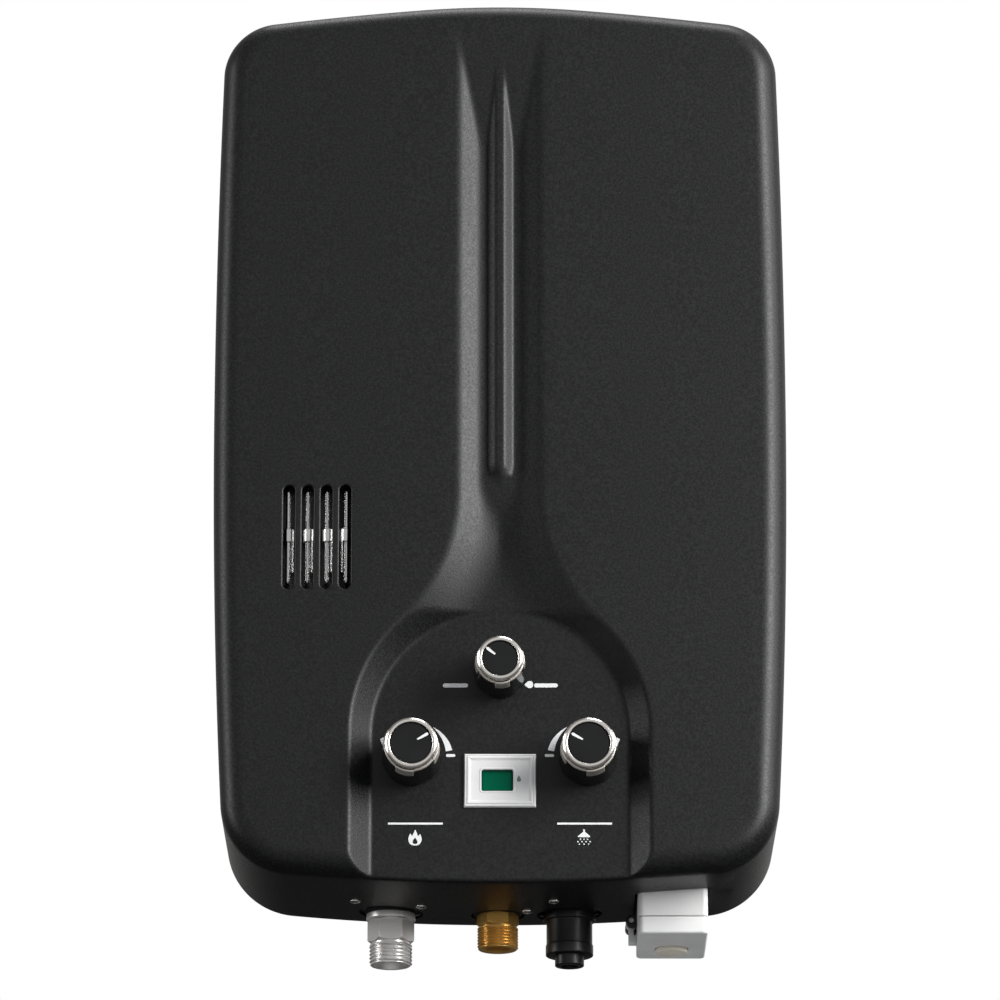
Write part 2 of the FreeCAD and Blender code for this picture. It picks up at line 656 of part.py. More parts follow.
def flue_grille():
    lip = block(-FLUE_HALF - GRILLE_LIP, FLUE_HALF + GRILLE_LIP,
                FLUE_Y[0] - GRILLE_LIP, FLUE_Y[1] + GRILLE_LIP, TOP_Z - EDGE_R, TOP_Z + EDGE_R)
    sheet = slab(-GRILLE_THICK, -DEPTH, 0).cut(slab(0, -DEPTH - 1, 1)).common(lip)
    pitch = 2 * FLUE_HALF / GRILLE_BARS
    gap = pitch * GRILLE_OPEN
    for k in range(GRILLE_BARS):
        x = -FLUE_HALF + pitch * (k + 0.5)
        sheet = sheet.cut(block(x - gap / 2, x + gap / 2, FLUE_Y[0] + 1, FLUE_Y[1] - 1, 0, TOP_Z + EDGE_R))
    return sheet


# ---------------------------------------------------------------- back plate and shelf

def back_plate():
    fit = SHEET + PLATE_FIT
    tray = slab(fit, -PLATE - FLANGE_DEPTH, 0).cut(slab(fit + PLATE, -PLATE - FLANGE_DEPTH - 1, -PLATE))
    tab = block(-TAB_HALF, TAB_HALF, -PLATE, 0, TOP_Z - 2 * EDGE_R, TAB_TOP_Z - TAB_HALF / 2)
    nose = block(-TAB_HALF / 2, TAB_HALF / 2, -PLATE, 0, TAB_TOP_Z - TAB_HALF, TAB_TOP_Z)
    ears = [rod(vec(s * TAB_HALF / 2, 0, TAB_TOP_Z - TAB_HALF / 2), OUT, TAB_HALF / 2, PLATE)
            for s in (-1, 1)]
    plate = fused([tray, tab, nose] + ears)
    holes = [rod(vec(0, 1, HOOK_HOLE_Z), OUT, HOOK_HOLE_R, PLATE + 2)]
    holes += [rod(vec(s * WALL_BOLT_HALF, 1, WALL_BOLT_Z), OUT, WALL_BOLT_R, PLATE + 2) for s in (-1, 1)]
    holes += [slot_cutter(0, AIR_SLOT_Z + k * AIR_SLOT_PITCH, *AIR_SLOT, -PLATE - 1, 1)
              for k in range(AIR_SLOT_COUNT)]
    half = BOX_WIDTH / 2 + BOX_GAP
    low = BOTTOM_Z - EDGE_R
    holes.append(block(BOX_X - half, BOX_X + half, -FLANGE_DEPTH - 2 * PLATE, -PLATE - CLEARANCE, low,
                       bottom_z(BOX_X + half) + fit + PLATE + 1))
    return plate.cut(holes)


def shelf_bottom():
    return bottom_z(SHELF_X[0]) + SHEET + SHELF_GAP


def connection_bracket():
    """Folded sheet: a shelf across the casing's bottom and a flange against the back plate."""
    z0 = shelf_bottom()
    shelf = block(*SHELF_X, -SHELF_DEPTH, -PLATE - FLANGE_DEPTH - CLEARANCE, z0, z0 + SHELF_THICK)
    riser_y = -PLATE - FLANGE_DEPTH - CLEARANCE
    z1 = z0 + SHELF_WEB_HEIGHT
    web = block(*SHELF_X, riser_y - SHELF_THICK, riser_y, z0, z1)
    step = block(*SHELF_X, riser_y - SHELF_THICK, -PLATE, z1 - SHELF_THICK, z1)
    flange = block(*SHELF_X, -PLATE - SHELF_THICK, -PLATE, z1 - SHELF_THICK, z1 + SHELF_FLANGE_HEIGHT)
    body = fused([shelf, web, step, flange])
    room = hex_bar(0, 0, 0, NUT_AF + 2 * NUT_ROOM, SHELF_WEB_HEIGHT + SHELF_FLANGE_HEIGHT)
    cuts = []
    for x in (OUTLET_X, GAS_X, WATER_X):
        cuts.append(rod(vec(x, PORT_Y, z0 - 1), UP, BARREL_R + RUNNING_FIT, SHELF_THICK + 2))
        cuts.append(room.translated(vec(x, PORT_Y, z0 + SHELF_THICK)))
    cuts += [rod(vec(x, y, z0 - 1), UP, SCREW_R, SHELF_THICK + 2) for x, y in BOTTOM_SCREWS]
    return body.cut(cuts)


# ---------------------------------------------------------------- vent guard

def rod_places():
    """(x, y, side of the stud) of each guard rod."""
    places = []
    for k in range(SLOT_COUNT):
        x = SLOT_X + (k - (SLOT_COUNT - 1) / 2) * ROD_PITCH
        places.append((x, face_y(x) + ROD_BEHIND_FACE, -1 if k == SLOT_COUNT - 1 else 1))
    return places


def guard_frame():
    """Black sheet channel behind the slots, against the chamber, that holds the rods' ends."""
    half = ROD_PITCH * (SLOT_COUNT - 1) / 2 + GUARD_MARGIN
    reach = SLOT_HEIGHT / 2 + GUARD_LAP + GUARD_SHEET
    low, high = SLOT_Z - reach, SLOT_Z + reach
    x0, x1 = SLOT_X - half, SLOT_X + half
    front = min(y for _, y, _ in rod_places())
    back = CHAMBER_Y[0]
    parts = [block(x0, x1, back - GUARD_SHEET, back, low, high)]
    parts += [block(x0, x1, front, back, z, z + GUARD_SHEET) for z in (low, high - GUARD_SHEET)]
    return fused(parts).cut(guard_rods())


def guard_rods():
    """Wire staples: an upright front run whose bent ends lead back into the frame's sheet."""
    low = SLOT_Z - SLOT_HEIGHT / 2 + ROD_END_GAP + ROD_LIFT + ROD_R
    high = SLOT_Z + SLOT_HEIGHT / 2 - ROD_END_GAP + ROD_LIFT - ROD_R
    back = CHAMBER_Y[0]
    staples = []
    for x, y, _ in rod_places():
        path = bent_path([vec(x, back, low), vec(x, y, low), vec(x, y, high), vec(x, back, high)], ROD_BEND_R)
        section = Part.Wire(Part.makeCircle(ROD_R, vec(x, back, low), OUT))
        staples.append(path.makePipeShell([section], True, True))
    return Part.makeCompound(staples)


def clip_block(x, y, side):
    w, d, h = CLIP_SIZE
    x += side * CLIP_SHIFT
    front = y - ROD_R - CLIP_FRONT
    return block(x - w / 2, x + w / 2, front, front + d, CLIP_Z - h / 2, CLIP_Z + h / 2)


def guard_clips():
    clips = []
    for x, y, side in rod_places():
        bore = rod(vec(x, y, CLIP_Z - CLIP_SIZE[2]), UP, ROD_R, 2 * CLIP_SIZE[2])
        clip = clip_block(x, y, side)
        clips.append(clip.makeChamfer(CLIP_CHAMFER, clip.Edges).cut(bore))
    return Part.makeCompound(clips)


def guard_studs():
    top = CLIP_Z - CLIP_SIZE[2] / 2
    return Part.makeCompound([rod(vec(x + s * STUD_OFFSET, y, top), DOWN, STUD_R, STUD_LENGTH)
                              for x, y, s in rod_places()])


# ---------------------------------------------------------------- knobs

def on_panel(distance):
    """Depth of a point that far in front of the panel."""
    return PANEL_Y - distance


def turned_out(profile, x, z):
    """Solid of revolution about a knob's axis; profile is (radius, distance from the panel)."""
    points = [vec(x + r, on_panel(a), z) for r, a in profile]
    return Part.Face(Part.makePolygon(points + points[:1])).revolve(vec(x, 0, z), BACK, 360)


def first_lug(knob, side):
    """Direction of the first lug, in degrees from +X towards +Z."""
    return LUG_TURN + (knob["pointer"] if side > 0 else 180 - knob["pointer"])


def facet_wire(knob, side, radius, distance):
    """Outline of the facetted body: one flat under each lug and one between each two."""
    x, z = knob["x"] * side, knob["z"]
    half = math.asin(knob["lug"] / 2 / (knob["ring_r"] + COLLAR_PROUD))
    lugs = [math.radians(first_lug(knob, side) + 360 / LUG_COUNT * k) for k in range(LUG_COUNT)]
    corners = [vec(x + radius * math.cos(lug + turn), on_panel(distance), z + radius * math.sin(lug + turn))
               for lug in lugs for turn in (-half, half)]
    return Part.makePolygon(corners + corners[:1])


def knob_levels():
    ring_back = KNOB_LENGTH - RING_THICK
    neck_back = ring_back - NECK_LENGTH
    return ring_back, neck_back, neck_back - COLLAR_LENGTH


def knob_parts(knob, side, valve_front_y):
    x, z, ring_r, base_r = knob["x"] * side, knob["z"], knob["ring_r"], knob["base_r"]
    ring_back, neck_back, collar_back = knob_levels()
    collar_r = ring_r + COLLAR_PROUD
    inner = ring_r - RING_WIDTH
    facets = Part.makeLoft([facet_wire(knob, side, base_r * KNOB_CORNER, KNOB_GAP),
                            facet_wire(knob, side, collar_r * KNOB_CORNER, collar_back)], True, True)
    cone = turned_out([(0, KNOB_GAP), (base_r, KNOB_GAP), (collar_r, collar_back), (0, collar_back)], x, z)
    body = facets.common(cone)
    bore_end = on_panel(collar_back - KNOB_FLOOR)
    body = body.cut(rod(vec(x, bore_end, z), BACK, SPINDLE_R, collar_back))
    groove = ring_r - RING_GROOVE
    trim = turned_out([(inner, collar_back), (collar_r, collar_back), (collar_r, neck_back),
                       (groove, neck_back), (groove, ring_back), (ring_r, ring_back + RING_BACK_CHAMFER),
                       (ring_r, KNOB_LENGTH - RING_OUTER_CHAMFER), (ring_r - RING_OUTER_CHAMFER, KNOB_LENGTH),
                       (inner + RING_INNER_CHAMFER, KNOB_LENGTH),
                       (inner, KNOB_LENGTH - RING_INNER_CHAMFER)], x, z)
    lean = (base_r - collar_r) / (collar_back - KNOB_GAP)
    outer = collar_r + lean * LUG_LENGTH + LUG_PROUD
    root = collar_r - LUG_ROOT
    skin = turned_out([(root, collar_back - LUG_LENGTH), (outer, collar_back - LUG_LENGTH),
                       (collar_r + LUG_PROUD, neck_back), (root, neck_back)], x, z)
    reach, half = 2 * ring_r, knob["lug"] / 2
    cross = [block(x - a, x + a, on_panel(KNOB_LENGTH), on_panel(0), z - b, z + b)
             for a, b in ((half, reach), (reach, half))]
    lugs = skin.common(fused(cross).rotated(vec(x, 0, z), OUT, first_lug(knob, side)))
    body = body.cut(lugs)
    trim = trim.fuse(lugs)
    cap = turned_out([(0, collar_back), (inner, collar_back), (inner, KNOB_LENGTH - CAP_RECESS),
                      (0, KNOB_LENGTH - CAP_RECESS)], x, z)
    spindle = rod(vec(x, bore_end, z), BACK, SPINDLE_R, valve_front_y + SPINDLE_DEPTH - bore_end)
    return body, trim, cap, spindle


# ---------------------------------------------------------------- display

def display_bezel():
    w, h = BEZEL_SIZE
    wires = [Part.makePolygon([vec(sx * (w / 2 - d), PANEL_Y - p, BEZEL_Z + sz * (h / 2 - d))
                               for sx, sz in ((1, 1), (-1, 1), (-1, -1), (1, -1), (1, 1))])
             for d, p in ((0, 0), (BEZEL_DRAFT, BEZEL_PROUD))]
    frame = Part.makeLoft(wires, True, True)
    inner_w, inner_h = w / 2 - BEZEL_RIM, h / 2 - BEZEL_RIM
    dish = block(-inner_w, inner_w, PANEL_Y - 2 * BEZEL_PROUD, PANEL_Y - BEZEL_PROUD + BEZEL_DISH,
                 BEZEL_Z - inner_h, BEZEL_Z + inner_h)
    plug_w, plug_h = BEZEL_CUT[0] / 2 - BEZEL_FIT, BEZEL_CUT[1] / 2 - BEZEL_FIT
    plug = block(-plug_w, plug_w, PANEL_Y, PANEL_Y + 2 * SHEET, BEZEL_Z - plug_h, BEZEL_Z + plug_h)
    return fused([frame, plug]).cut(dish).cut(window_block(4 * BEZEL_PROUD, 2 * BEZEL_PROUD))


def window_block(depth, proud):
    w, h = WINDOW_SIZE
    return block(WINDOW_X - w / 2, WINDOW_X + w / 2, PANEL_Y - proud, PANEL_Y - proud + depth,
                 BEZEL_Z - h / 2, BEZEL_Z + h / 2)


def display_board():
    w, h = BOARD_SIZE
    front = PANEL_Y + 2 * SHEET
    board = block(-w / 2, w / 2, front, front + BOARD_THICK, BEZEL_Z - h / 2, BEZEL_Z + h / 2)
    long, deep, tall = BOARD_SOCKET
    x0, y0 = -w / 2 + BOARD_SOCKET_INSET, front + BOARD_THICK
    cable_socket = block(x0, x0 + long, y0, y0 + deep, BEZEL_Z - tall / 2, BEZEL_Z + tall / 2)
    behind = WINDOW_THICK - WINDOW_PROUD
    backlight = window_block(2 * SHEET - behind, -behind)
    return fused([board, cable_socket, backlight])


# ---------------------------------------------------------------- pipe ends

def threaded(radius, depth, pitch, z_low, z_high):
    """Profile points of ring grooves with flat crests, from the low end up."""
    crest = pitch * CREST_SHARE
    count = round((z_high - crest - z_low) / pitch)
    step = (z_high - crest - z_low) / count
    points = []
    for k in range(count):
        z = z_low + k * step
        root = z + step * (CREST_SHARE + SLOPE_SHARE)
        points += [(radius, z), (radius, z + crest), (radius - depth, root),
                   (radius - depth, root + step * ROOT_SHARE)]
    return points + [(radius, z_high - crest), (radius, z_high)]


def hot_water_outlet():
    z = OUTLET_END_Z
    hex_low, hex_high = z + OUTLET_HEX[0], z + OUTLET_HEX[1]
    neck, bore = THREAD_R - THREAD_RELIEF, THREAD_R - OUTLET_WALL
    profile = [(bore, z), (THREAD_R - THREAD_CHAMFER, z)]
    profile += threaded(THREAD_R, THREAD_DEPTH, THREAD_PITCH, z + THREAD_CHAMFER,
                        z + THREAD_CHAMFER + OUTLET_THREAD_LENGTH)
    profile += [(neck, z + OUTLET_THREAD_LENGTH + 2 * THREAD_CHAMFER), (neck, hex_low), (bore, hex_low)]
    barrel = [(TUBE_R, hex_low), (neck, hex_low), (neck, hex_high), (GASKET_R, hex_high),
              (GASKET_R, PORT_FLANGE_Z), (BARREL_R, PORT_FLANGE_Z), (BARREL_R, HOT_RUN_Z - BEND_R),
              (TUBE_R, HOT_RUN_Z - BEND_R)]
    hexagon = hex_bar(OUTLET_X, PORT_Y, hex_low, OUTLET_HEX_AF, hex_high - hex_low)
    hexagon = hexagon.cut(rod(vec(OUTLET_X, PORT_Y, z), UP, TUBE_R, HEIGHT))
    return fused([turned(profile, OUTLET_X, PORT_Y), turned(barrel, OUTLET_X, PORT_Y), hexagon])


def gas_inlet():
    z = GAS_END_Z
    hex_low, top = z + GAS_HEX_LOW, VALVE_Z - GAS_BODY_R - GAS_NECK_LENGTH
    profile = [(GAS_BORE_R, z), (GAS_THREAD_R - THREAD_CHAMFER, z)]
    profile += threaded(GAS_THREAD_R, GAS_THREAD_DEPTH, GAS_THREAD_PITCH, z + THREAD_CHAMFER,
                        z + THREAD_CHAMFER + GAS_THREAD_LENGTH)
    profile += [(BARREL_R, z + GAS_THREAD_LENGTH + 2 * THREAD_CHAMFER), (BARREL_R, top), (GAS_BORE_R, top)]
    hexagon = hex_bar(GAS_X, PORT_Y, hex_low, GAS_HEX_AF, PORT_FLANGE_Z - hex_low)
    hexagon = hexagon.cut(rod(vec(GAS_X, PORT_Y, z), UP, GAS_BORE_R, HEIGHT))
    return fused([turned(profile, GAS_X, PORT_Y), hexagon])


def water_inlet():
    low = WATER_END_Z + SPIGOT_LENGTH
    high = low + WATER_RING_HEIGHT
    flange = PORT_FLANGE_Z - WATER_FLANGE_HEIGHT
    top = VALVE_Z - WATER_BODY_R - WATER_NECK_LENGTH
    return turned([(WATER_BORE_R, WATER_END_Z), (SPIGOT_R, WATER_END_Z), (SPIGOT_R, low),
                   (WATER_RING_R, low), (WATER_RING_R, high), (WATER_BARREL_R, high),
                   (WATER_BARREL_R, flange), (WATER_FLANGE_R, flange), (WATER_FLANGE_R, PORT_FLANGE_Z),
                   (BARREL_R, PORT_FLANGE_Z), (BARREL_R, top), (WATER_BORE_R, top)], WATER_X, PORT_Y)


def port_gaskets():
    return Part.makeCompound([pipe_ring(vec(x, PORT_Y, PORT_FLANGE_Z), UP, GASKET_R, BARREL_R,
                                        shelf_bottom() - PORT_FLANGE_Z) for x in (OUTLET_X, GAS_X, WATER_X)])


def port_nuts():
    top = shelf_bottom() + SHELF_THICK
    return Part.makeCompound([hex_bar(x, PORT_Y, top, NUT_AF, NUT_HEIGHT).cut(
        rod(vec(x, PORT_Y, top), UP, BARREL_R, NUT_HEIGHT)) for x in (OUTLET_X, GAS_X, WATER_X)])


# ---------------------------------------------------------------- battery box

def box_shell(z0, z1, floor_at, floor):
    """Rounded sleeve between two heights, closed at the end named by floor_at."""
    half = BOX_WIDTH / 2
    outer = rounded_block(BOX_X - half, BOX_X + half, BOX_FRONT_Y, BOX_REAR_Y, z0, z1, BOX_CORNER_R)
    low, high = (z0 + floor, z1 + 1) if floor_at == "bottom" else (z0 - 1, z1 - floor)
    return outer.cut(rounded_block(BOX_X - half + BOX_WALL, BOX_X + half - BOX_WALL, BOX_FRONT_Y + BOX_WALL,
                                   BOX_REAR_Y - BOX_WALL, low, high, BOX_CORNER_R - BOX_WALL))


def cell_centres():
    middle = (BOX_FRONT_Y + BOX_REAR_Y) / 2
    return [middle - CELL_R - CELL_GAP / 2, middle + CELL_R + CELL_GAP / 2]


def cell_z():
    """Lower end of the cells, with the turned cell's nub just over the lid's contact."""
    return LID_BOTTOM_Z + LID_FLOOR + CONTACT_THICK + NUB_HEIGHT + CLEARANCE


def box_top():
    return cell_z() + CELL_LENGTH + NUB_HEIGHT + CONTACT_THICK + BOX_WALL


def battery_box():
    width, height = BOX_PAD
    high = box_top() - BOX_PAD_DROP
    pad = block(BOX_X - width / 2, BOX_X + width / 2, BOX_REAR_Y - BOX_WALL, -PLATE, high - height, high)
    return fused([box_shell(PART_Z, box_top(), "top", BOX_WALL), pad])


def battery_lid():
    shell = box_shell(LID_BOTTOM_Z, PART_Z - PART_GAP, "bottom", LID_FLOOR)
    low_rim = [e for e in shell.Edges if abs(e.BoundBox.ZMin - LID_BOTTOM_Z) < 1e-6
               and abs(e.BoundBox.ZMax - LID_BOTTOM_Z) < 1e-6]
    shell = shell.makeFillet(LID_EDGE_R, low_rim)
    left = BOX_X - BOX_WIDTH / 2
    ear_x = (HINGE_X - EAR_R / 2, HINGE_X + EAR_R / 2)
    foot = PART_Z - EAR_DROP
    arm = fused([block(*ear_x, *EAR_Y, foot, HINGE_Z),
                 block(ear_x[0], left + BOX_WALL / 2, *EAR_Y, foot, PART_Z - PART_GAP - EAR_GAP),
                 rod(vec(HINGE_X, EAR_Y[0], HINGE_Z), BACK, EAR_R, EAR_Y[1] - EAR_Y[0])])
    bore = rod(vec(HINGE_X, EAR_Y[0] - 1, HINGE_Z), BACK, HINGE_PIN_R + RUNNING_FIT, EAR_Y[1] - EAR_Y[0] + 2)
    button_hole = rod(vec(BOX_X, BUTTON_Y, LID_BOTTOM_Z - 1), UP, BUTTON_R + CLEARANCE, LID_FLOOR + 2)
    return fused([shell, arm]).cut([bore, button_hole])


def battery_button():
    """Shallow dish-backed push button whose face has a raised centre."""
    top = LID_BOTTOM_Z + LID_FLOOR - BUTTON_TRAVEL - BUTTON_ROOM
    low = LID_BOTTOM_Z - BUTTON_PROUD
    rim_width, rim_depth = BUTTON_RIM
    return turned([(0, low), (BUTTON_CENTRE_R, low + BUTTON_FACE_FALL),
                   (BUTTON_R - rim_width, low + rim_depth), (BUTTON_R, low + BUTTON_SIDE),
                   (BUTTON_R, top), (0, top)], BOX_X, BUTTON_Y)


def battery_bracket():
    left = BOX_X - BOX_WIDTH / 2
    plate = block(left - PLATE, left, *BRACKET_Y, HINGE_Z - BARREL_OUT_R, BRACKET_TOP_Z)
    ends = [(BRACKET_Y[0], EAR_Y[0] - EAR_GAP), (EAR_Y[1] + EAR_GAP, BRACKET_Y[1])]
    plate = plate.cut(block(left - PLATE, left, ends[0][1], ends[1][0], HINGE_Z - BARREL_OUT_R,
                            HINGE_Z + BARREL_OUT_R + 1))
    barrels = [rod(vec(HINGE_X, y0, HINGE_Z), BACK, BARREL_OUT_R, y1 - y0) for y0, y1 in ends]
    webs = [block(HINGE_X, left, y0, y1, HINGE_Z - BARREL_OUT_R, HINGE_Z + BARREL_OUT_R) for y0, y1 in ends]
    pin = rod(vec(HINGE_X, BRACKET_Y[0] - 1, HINGE_Z), BACK, HINGE_PIN_R, BRACKET_Y[1] - BRACKET_Y[0] + 2)
    return fused([plate] + barrels + webs).cut(pin)


def lid_hinge_pin():
    return rod(vec(HINGE_X, BRACKET_Y[0], HINGE_Z), BACK, HINGE_PIN_R, BRACKET_Y[1] - BRACKET_Y[0])


def battery_cell(y, flipped):
    low = cell_z()
    nub_z = low - NUB_HEIGHT if flipped else low + CELL_LENGTH
    can_length = CELL_LENGTH + (NUB_HEIGHT if flipped else 0)
    return fused([rod(vec(BOX_X, y, low), UP, CELL_R, can_length),
                  rod(vec(BOX_X, y, nub_z), UP, NUB_R, NUB_HEIGHT)])


def top_contacts():
    z = cell_z() + CELL_LENGTH + NUB_HEIGHT
    return Part.makeCompound([rod(vec(BOX_X, y, z), UP, 2 * NUB_R, CONTACT_THICK) for y in cell_centres()])


def lid_contact():
    y0, y1 = cell_centres()
    z = LID_BOTTOM_Z + LID_FLOOR
    return block(BOX_X - NUB_R, BOX_X + NUB_R, y0 - NUB_R, y1 + NUB_R, z, z + CONTACT_THICK)


# ---------------------------------------------------------------- valves

def axis_x(x0, x1, radius, y=VALVE_Y, z=VALVE_Z):
    return rod(vec(x0, y, z), RIGHT, radius, x1 - x0)


def knob_boss(x, z, front_y, radius):
    return rod(vec(x, VALVE_Y, z), OUT, radius, VALVE_Y - front_y)


def spindle_bore(x, z, front_y):
    return rod(vec(x, front_y + SPINDLE_DEPTH + 1, z), OUT, SPINDLE_R + RUNNING_FIT, SPINDLE_DEPTH + 2)


def gas_valve_body():
    x0, x1 = GAS_BODY_X
    neck = GAS_BODY_R + GAS_NECK_LENGTH
    riser = mixer_foot() - VALVE_Z
    parts = [axis_x(x0, x1, GAS_BODY_R),
             knob_boss(-SIDE_KNOB["x"], VALVE_Z, KNOB_BOSS_FRONT_Y, KNOB_BOSS_R),
             rod(vec(GAS_X, PORT_Y, VALVE_Z - neck), UP, PORT_NECK_R, neck),
             rod(vec(GAS_RISER_X, VALVE_Y, VALVE_Z), UP, GAS_RISER_R, riser)]
    bores = [axis_x(x0 + GAS_SOLENOID_SEAT, VALVE_SEAT_X + SEAT_LAP, GAS_CHAMBER_R),
             axis_x(VALVE_SEAT_X - 1, x1 + 1, ROD_RADIUS + RUNNING_FIT),
             axis_x(VALVE_SEAT_X, x1 - GAS_END_WALL, VALVE_DISC_R - SEAT_LEDGE),
             spindle_bore(-SIDE_KNOB["x"], VALVE_Z, KNOB_BOSS_FRONT_Y),
             rod(vec(GAS_X, PORT_Y, VALVE_Z - neck - 1), UP, GAS_BORE_R, neck + 1 + GAS_BORE_OVER),
             rod(vec(GAS_RISER_X, VALVE_Y, VALVE_Z), UP, GAS_BORE_R, riser + 1)]
    return fused(parts).cut(bores)


def gas_solenoid():
    x1 = GAS_BODY_X[0]
    long, wide, tall = SOLENOID_PLUG
    plug_x = x1 - SOLENOID_LENGTH / 2 - long / 2
    flange_x = x1 - SOLENOID_FLANGE
    return fused([axis_x(x1 - SOLENOID_LENGTH, flange_x, SOLENOID_R),
                  axis_x(flange_x, x1, GAS_BODY_R - SOLENOID_FLANGE),
                  block(plug_x, plug_x + long, VALVE_Y - wide / 2, VALVE_Y + wide / 2,
                        VALVE_Z + SOLENOID_R - 1, VALVE_Z + SOLENOID_R + tall)])


def water_valve_body():
    x0 = DIAPHRAGM_X + DIAPHRAGM_THICK
    x1 = WATER_BODY_END_X
    neck_z = VALVE_Z - WATER_BODY_R - WATER_NECK_LENGTH
    parts = [axis_x(x0, x0 + VALVE_FLANGE_THICK, VALVE_FLANGE_R),
             axis_x(x0, x1 - PIPE_BOSS_LENGTH, WATER_BODY_R),
             axis_x(x1 - PIPE_BOSS_LENGTH, x1, TUBE_R + PIPE_BOSS_WALL),
             knob_boss(SIDE_KNOB["x"], VALVE_Z, KNOB_BOSS_FRONT_Y, KNOB_BOSS_R),
             rod(vec(WATER_X, PORT_Y, neck_z), UP, PORT_NECK_R, VALVE_Z - neck_z)]
    bores = [axis_x(x0 - 1, x0 + WATER_MOUTH_DEPTH, VALVE_MOUTH_R),
             axis_x(x0 + WATER_MOUTH_DEPTH - 1, x1 - WATER_END_WALL, WATER_BODY_R - WATER_BODY_WALL),
             axis_x(x1 - WATER_END_WALL - 1, x1 + 1, TUBE_R - TUBE_WALL),
             spindle_bore(SIDE_KNOB["x"], VALVE_Z, KNOB_BOSS_FRONT_Y),
             rod(vec(WATER_X, PORT_Y, neck_z - 1), UP, WATER_BORE_R, VALVE_Z - neck_z)]
    return fused(parts).cut(bores + valve_screw_holes())


def valve_screw_places():
    """(y, z) of each screw around the water valve's flange."""
    angles = [2 * math.pi * (k + 0.5) / VALVE_SCREW_COUNT for k in range(VALVE_SCREW_COUNT)]
    r = VALVE_SCREW_PCD / 2
    return [(VALVE_Y + r * math.cos(a), VALVE_Z + r * math.sin(a)) for a in angles]


def valve_screw_holes():
    end = DIAPHRAGM_X + DIAPHRAGM_THICK + VALVE_FLANGE_THICK + 1
    return [axis_x(WATER_COVER_X - 1, end, SCREW_R, y, z) for y, z in valve_screw_places()]


def water_valve_cover():
    cover = fused([axis_x(WATER_COVER_X, DIAPHRAGM_X, VALVE_FLANGE_R - WATER_COVER_STEP),
                   axis_x(DIAPHRAGM_X - VALVE_FLANGE_THICK, DIAPHRAGM_X, VALVE_FLANGE_R)])
    hollow = axis_x(WATER_COVER_X + WATER_COVER_WALL, DIAPHRAGM_X + 1, VALVE_MOUTH_R - DIAPHRAGM_INSET)
    rod_hole = axis_x(WATER_COVER_X - 1, DIAPHRAGM_X, ROD_RADIUS + RUNNING_FIT)
    return cover.cut([hollow, rod_hole] + valve_screw_holes())


def diaphragm():
    disc = axis_x(DIAPHRAGM_X, DIAPHRAGM_X + DIAPHRAGM_THICK, VALVE_FLANGE_R - DIAPHRAGM_INSET)
    return disc.cut(valve_screw_holes())


def valve_screws():
    back = DIAPHRAGM_X - VALVE_FLANGE_THICK
    end = DIAPHRAGM_X + DIAPHRAGM_THICK + VALVE_FLANGE_THICK
    return Part.makeCompound([fused([axis_x(back, end, SCREW_R, y, z),
                                     axis_x(back - VALVE_SCREW_HEAD, back, SCREW_HEAD_R, y, z)])
                              for y, z in valve_screw_places()])


def push_rod():
    plate_x = DIAPHRAGM_X - CLEARANCE
    collar_x = LEVER_X + LEVER_THICK / 2 + LEVER_GAP
    disc_back = VALVE_SEAT_X - DISC_BACK
    return fused([axis_x(disc_back, plate_x, ROD_RADIUS),
                  axis_x(plate_x - ROD_PLATE_THICK, plate_x, ROD_PLATE_R),
                  axis_x(collar_x, collar_x + ROD_COLLAR_THICK, ROD_COLLAR_R),
                  axis_x(disc_back, VALVE_SEAT_X - CLEARANCE, VALVE_DISC_R)])


def valve_spring():
    """Helical coil behind the valve's disc, of a many-sided wire."""
    helix = Part.makeHelix(SPRING_LENGTH / SPRING_TURNS, SPRING_LENGTH, SPRING_R)
    angles = [2 * math.pi * k / SPRING_FACETS for k in range(SPRING_FACETS + 1)]
    section = Part.makePolygon([vec(SPRING_R + SPRING_WIRE_R * math.cos(a), 0, SPRING_WIRE_R * math.sin(a))
                                for a in angles])
    coil = Part.Wire(helix.Edges).makePipeShell([section], True, True)
    coil.rotate(vec(0, 0, 0), vec(0, 1, 0), -90)
    coil.translate(vec(VALVE_SEAT_X - DISC_BACK - SPRING_WIRE_R, VALVE_Y, VALVE_Z))
    return coil


def microswitch():
    w, d, h = SWITCH_SIZE
    x, z = LEVER_X, LEVER_Z
    body_x = x + LEVER_HUB_R + CLEARANCE
    top = z + SWITCH_RISE
    body = block(body_x, body_x + w, VALVE_Y - d / 2, VALVE_Y + d / 2, top - h, top)
    fork = [block(x - FORK_BACK, body_x + 1, y, y + FORK_THICK, z - FORK_DROP, top)
            for y in (VALVE_Y - d / 2, VALVE_Y + d / 2 - FORK_THICK)]
    pin = rod(vec(x, VALVE_Y - d / 2, z), BACK, LEVER_PIN_R, d)
    foot = block(DIAPHRAGM_X - VALVE_FLANGE_THICK, DIAPHRAGM_X, VALVE_Y - SWITCH_FOOT_HALF,
                 VALVE_Y + SWITCH_FOOT_HALF, z, VALVE_Z - VALVE_FLANGE_R + SWITCH_FOOT_LAP)
    return fused([body] + fork + [pin, foot])


def microswitch_lever():
    x, z, half = LEVER_X, LEVER_Z, LEVER_WIDTH / 2
    hub = rod(vec(x, VALVE_Y - half, z), BACK, LEVER_HUB_R, LEVER_WIDTH)
    blade = block(x - LEVER_THICK / 2, x + LEVER_THICK / 2, VALVE_Y - half, VALVE_Y + half,
                  z, z + LEVER_LENGTH)
    bore = rod(vec(x, VALVE_Y - half - 1, z), BACK, LEVER_PIN_R + RUNNING_FIT, LEVER_WIDTH + 2)
    return fused([hub, blade]).cut(bore)


# ---------------------------------------------------------------- gas rail and burner

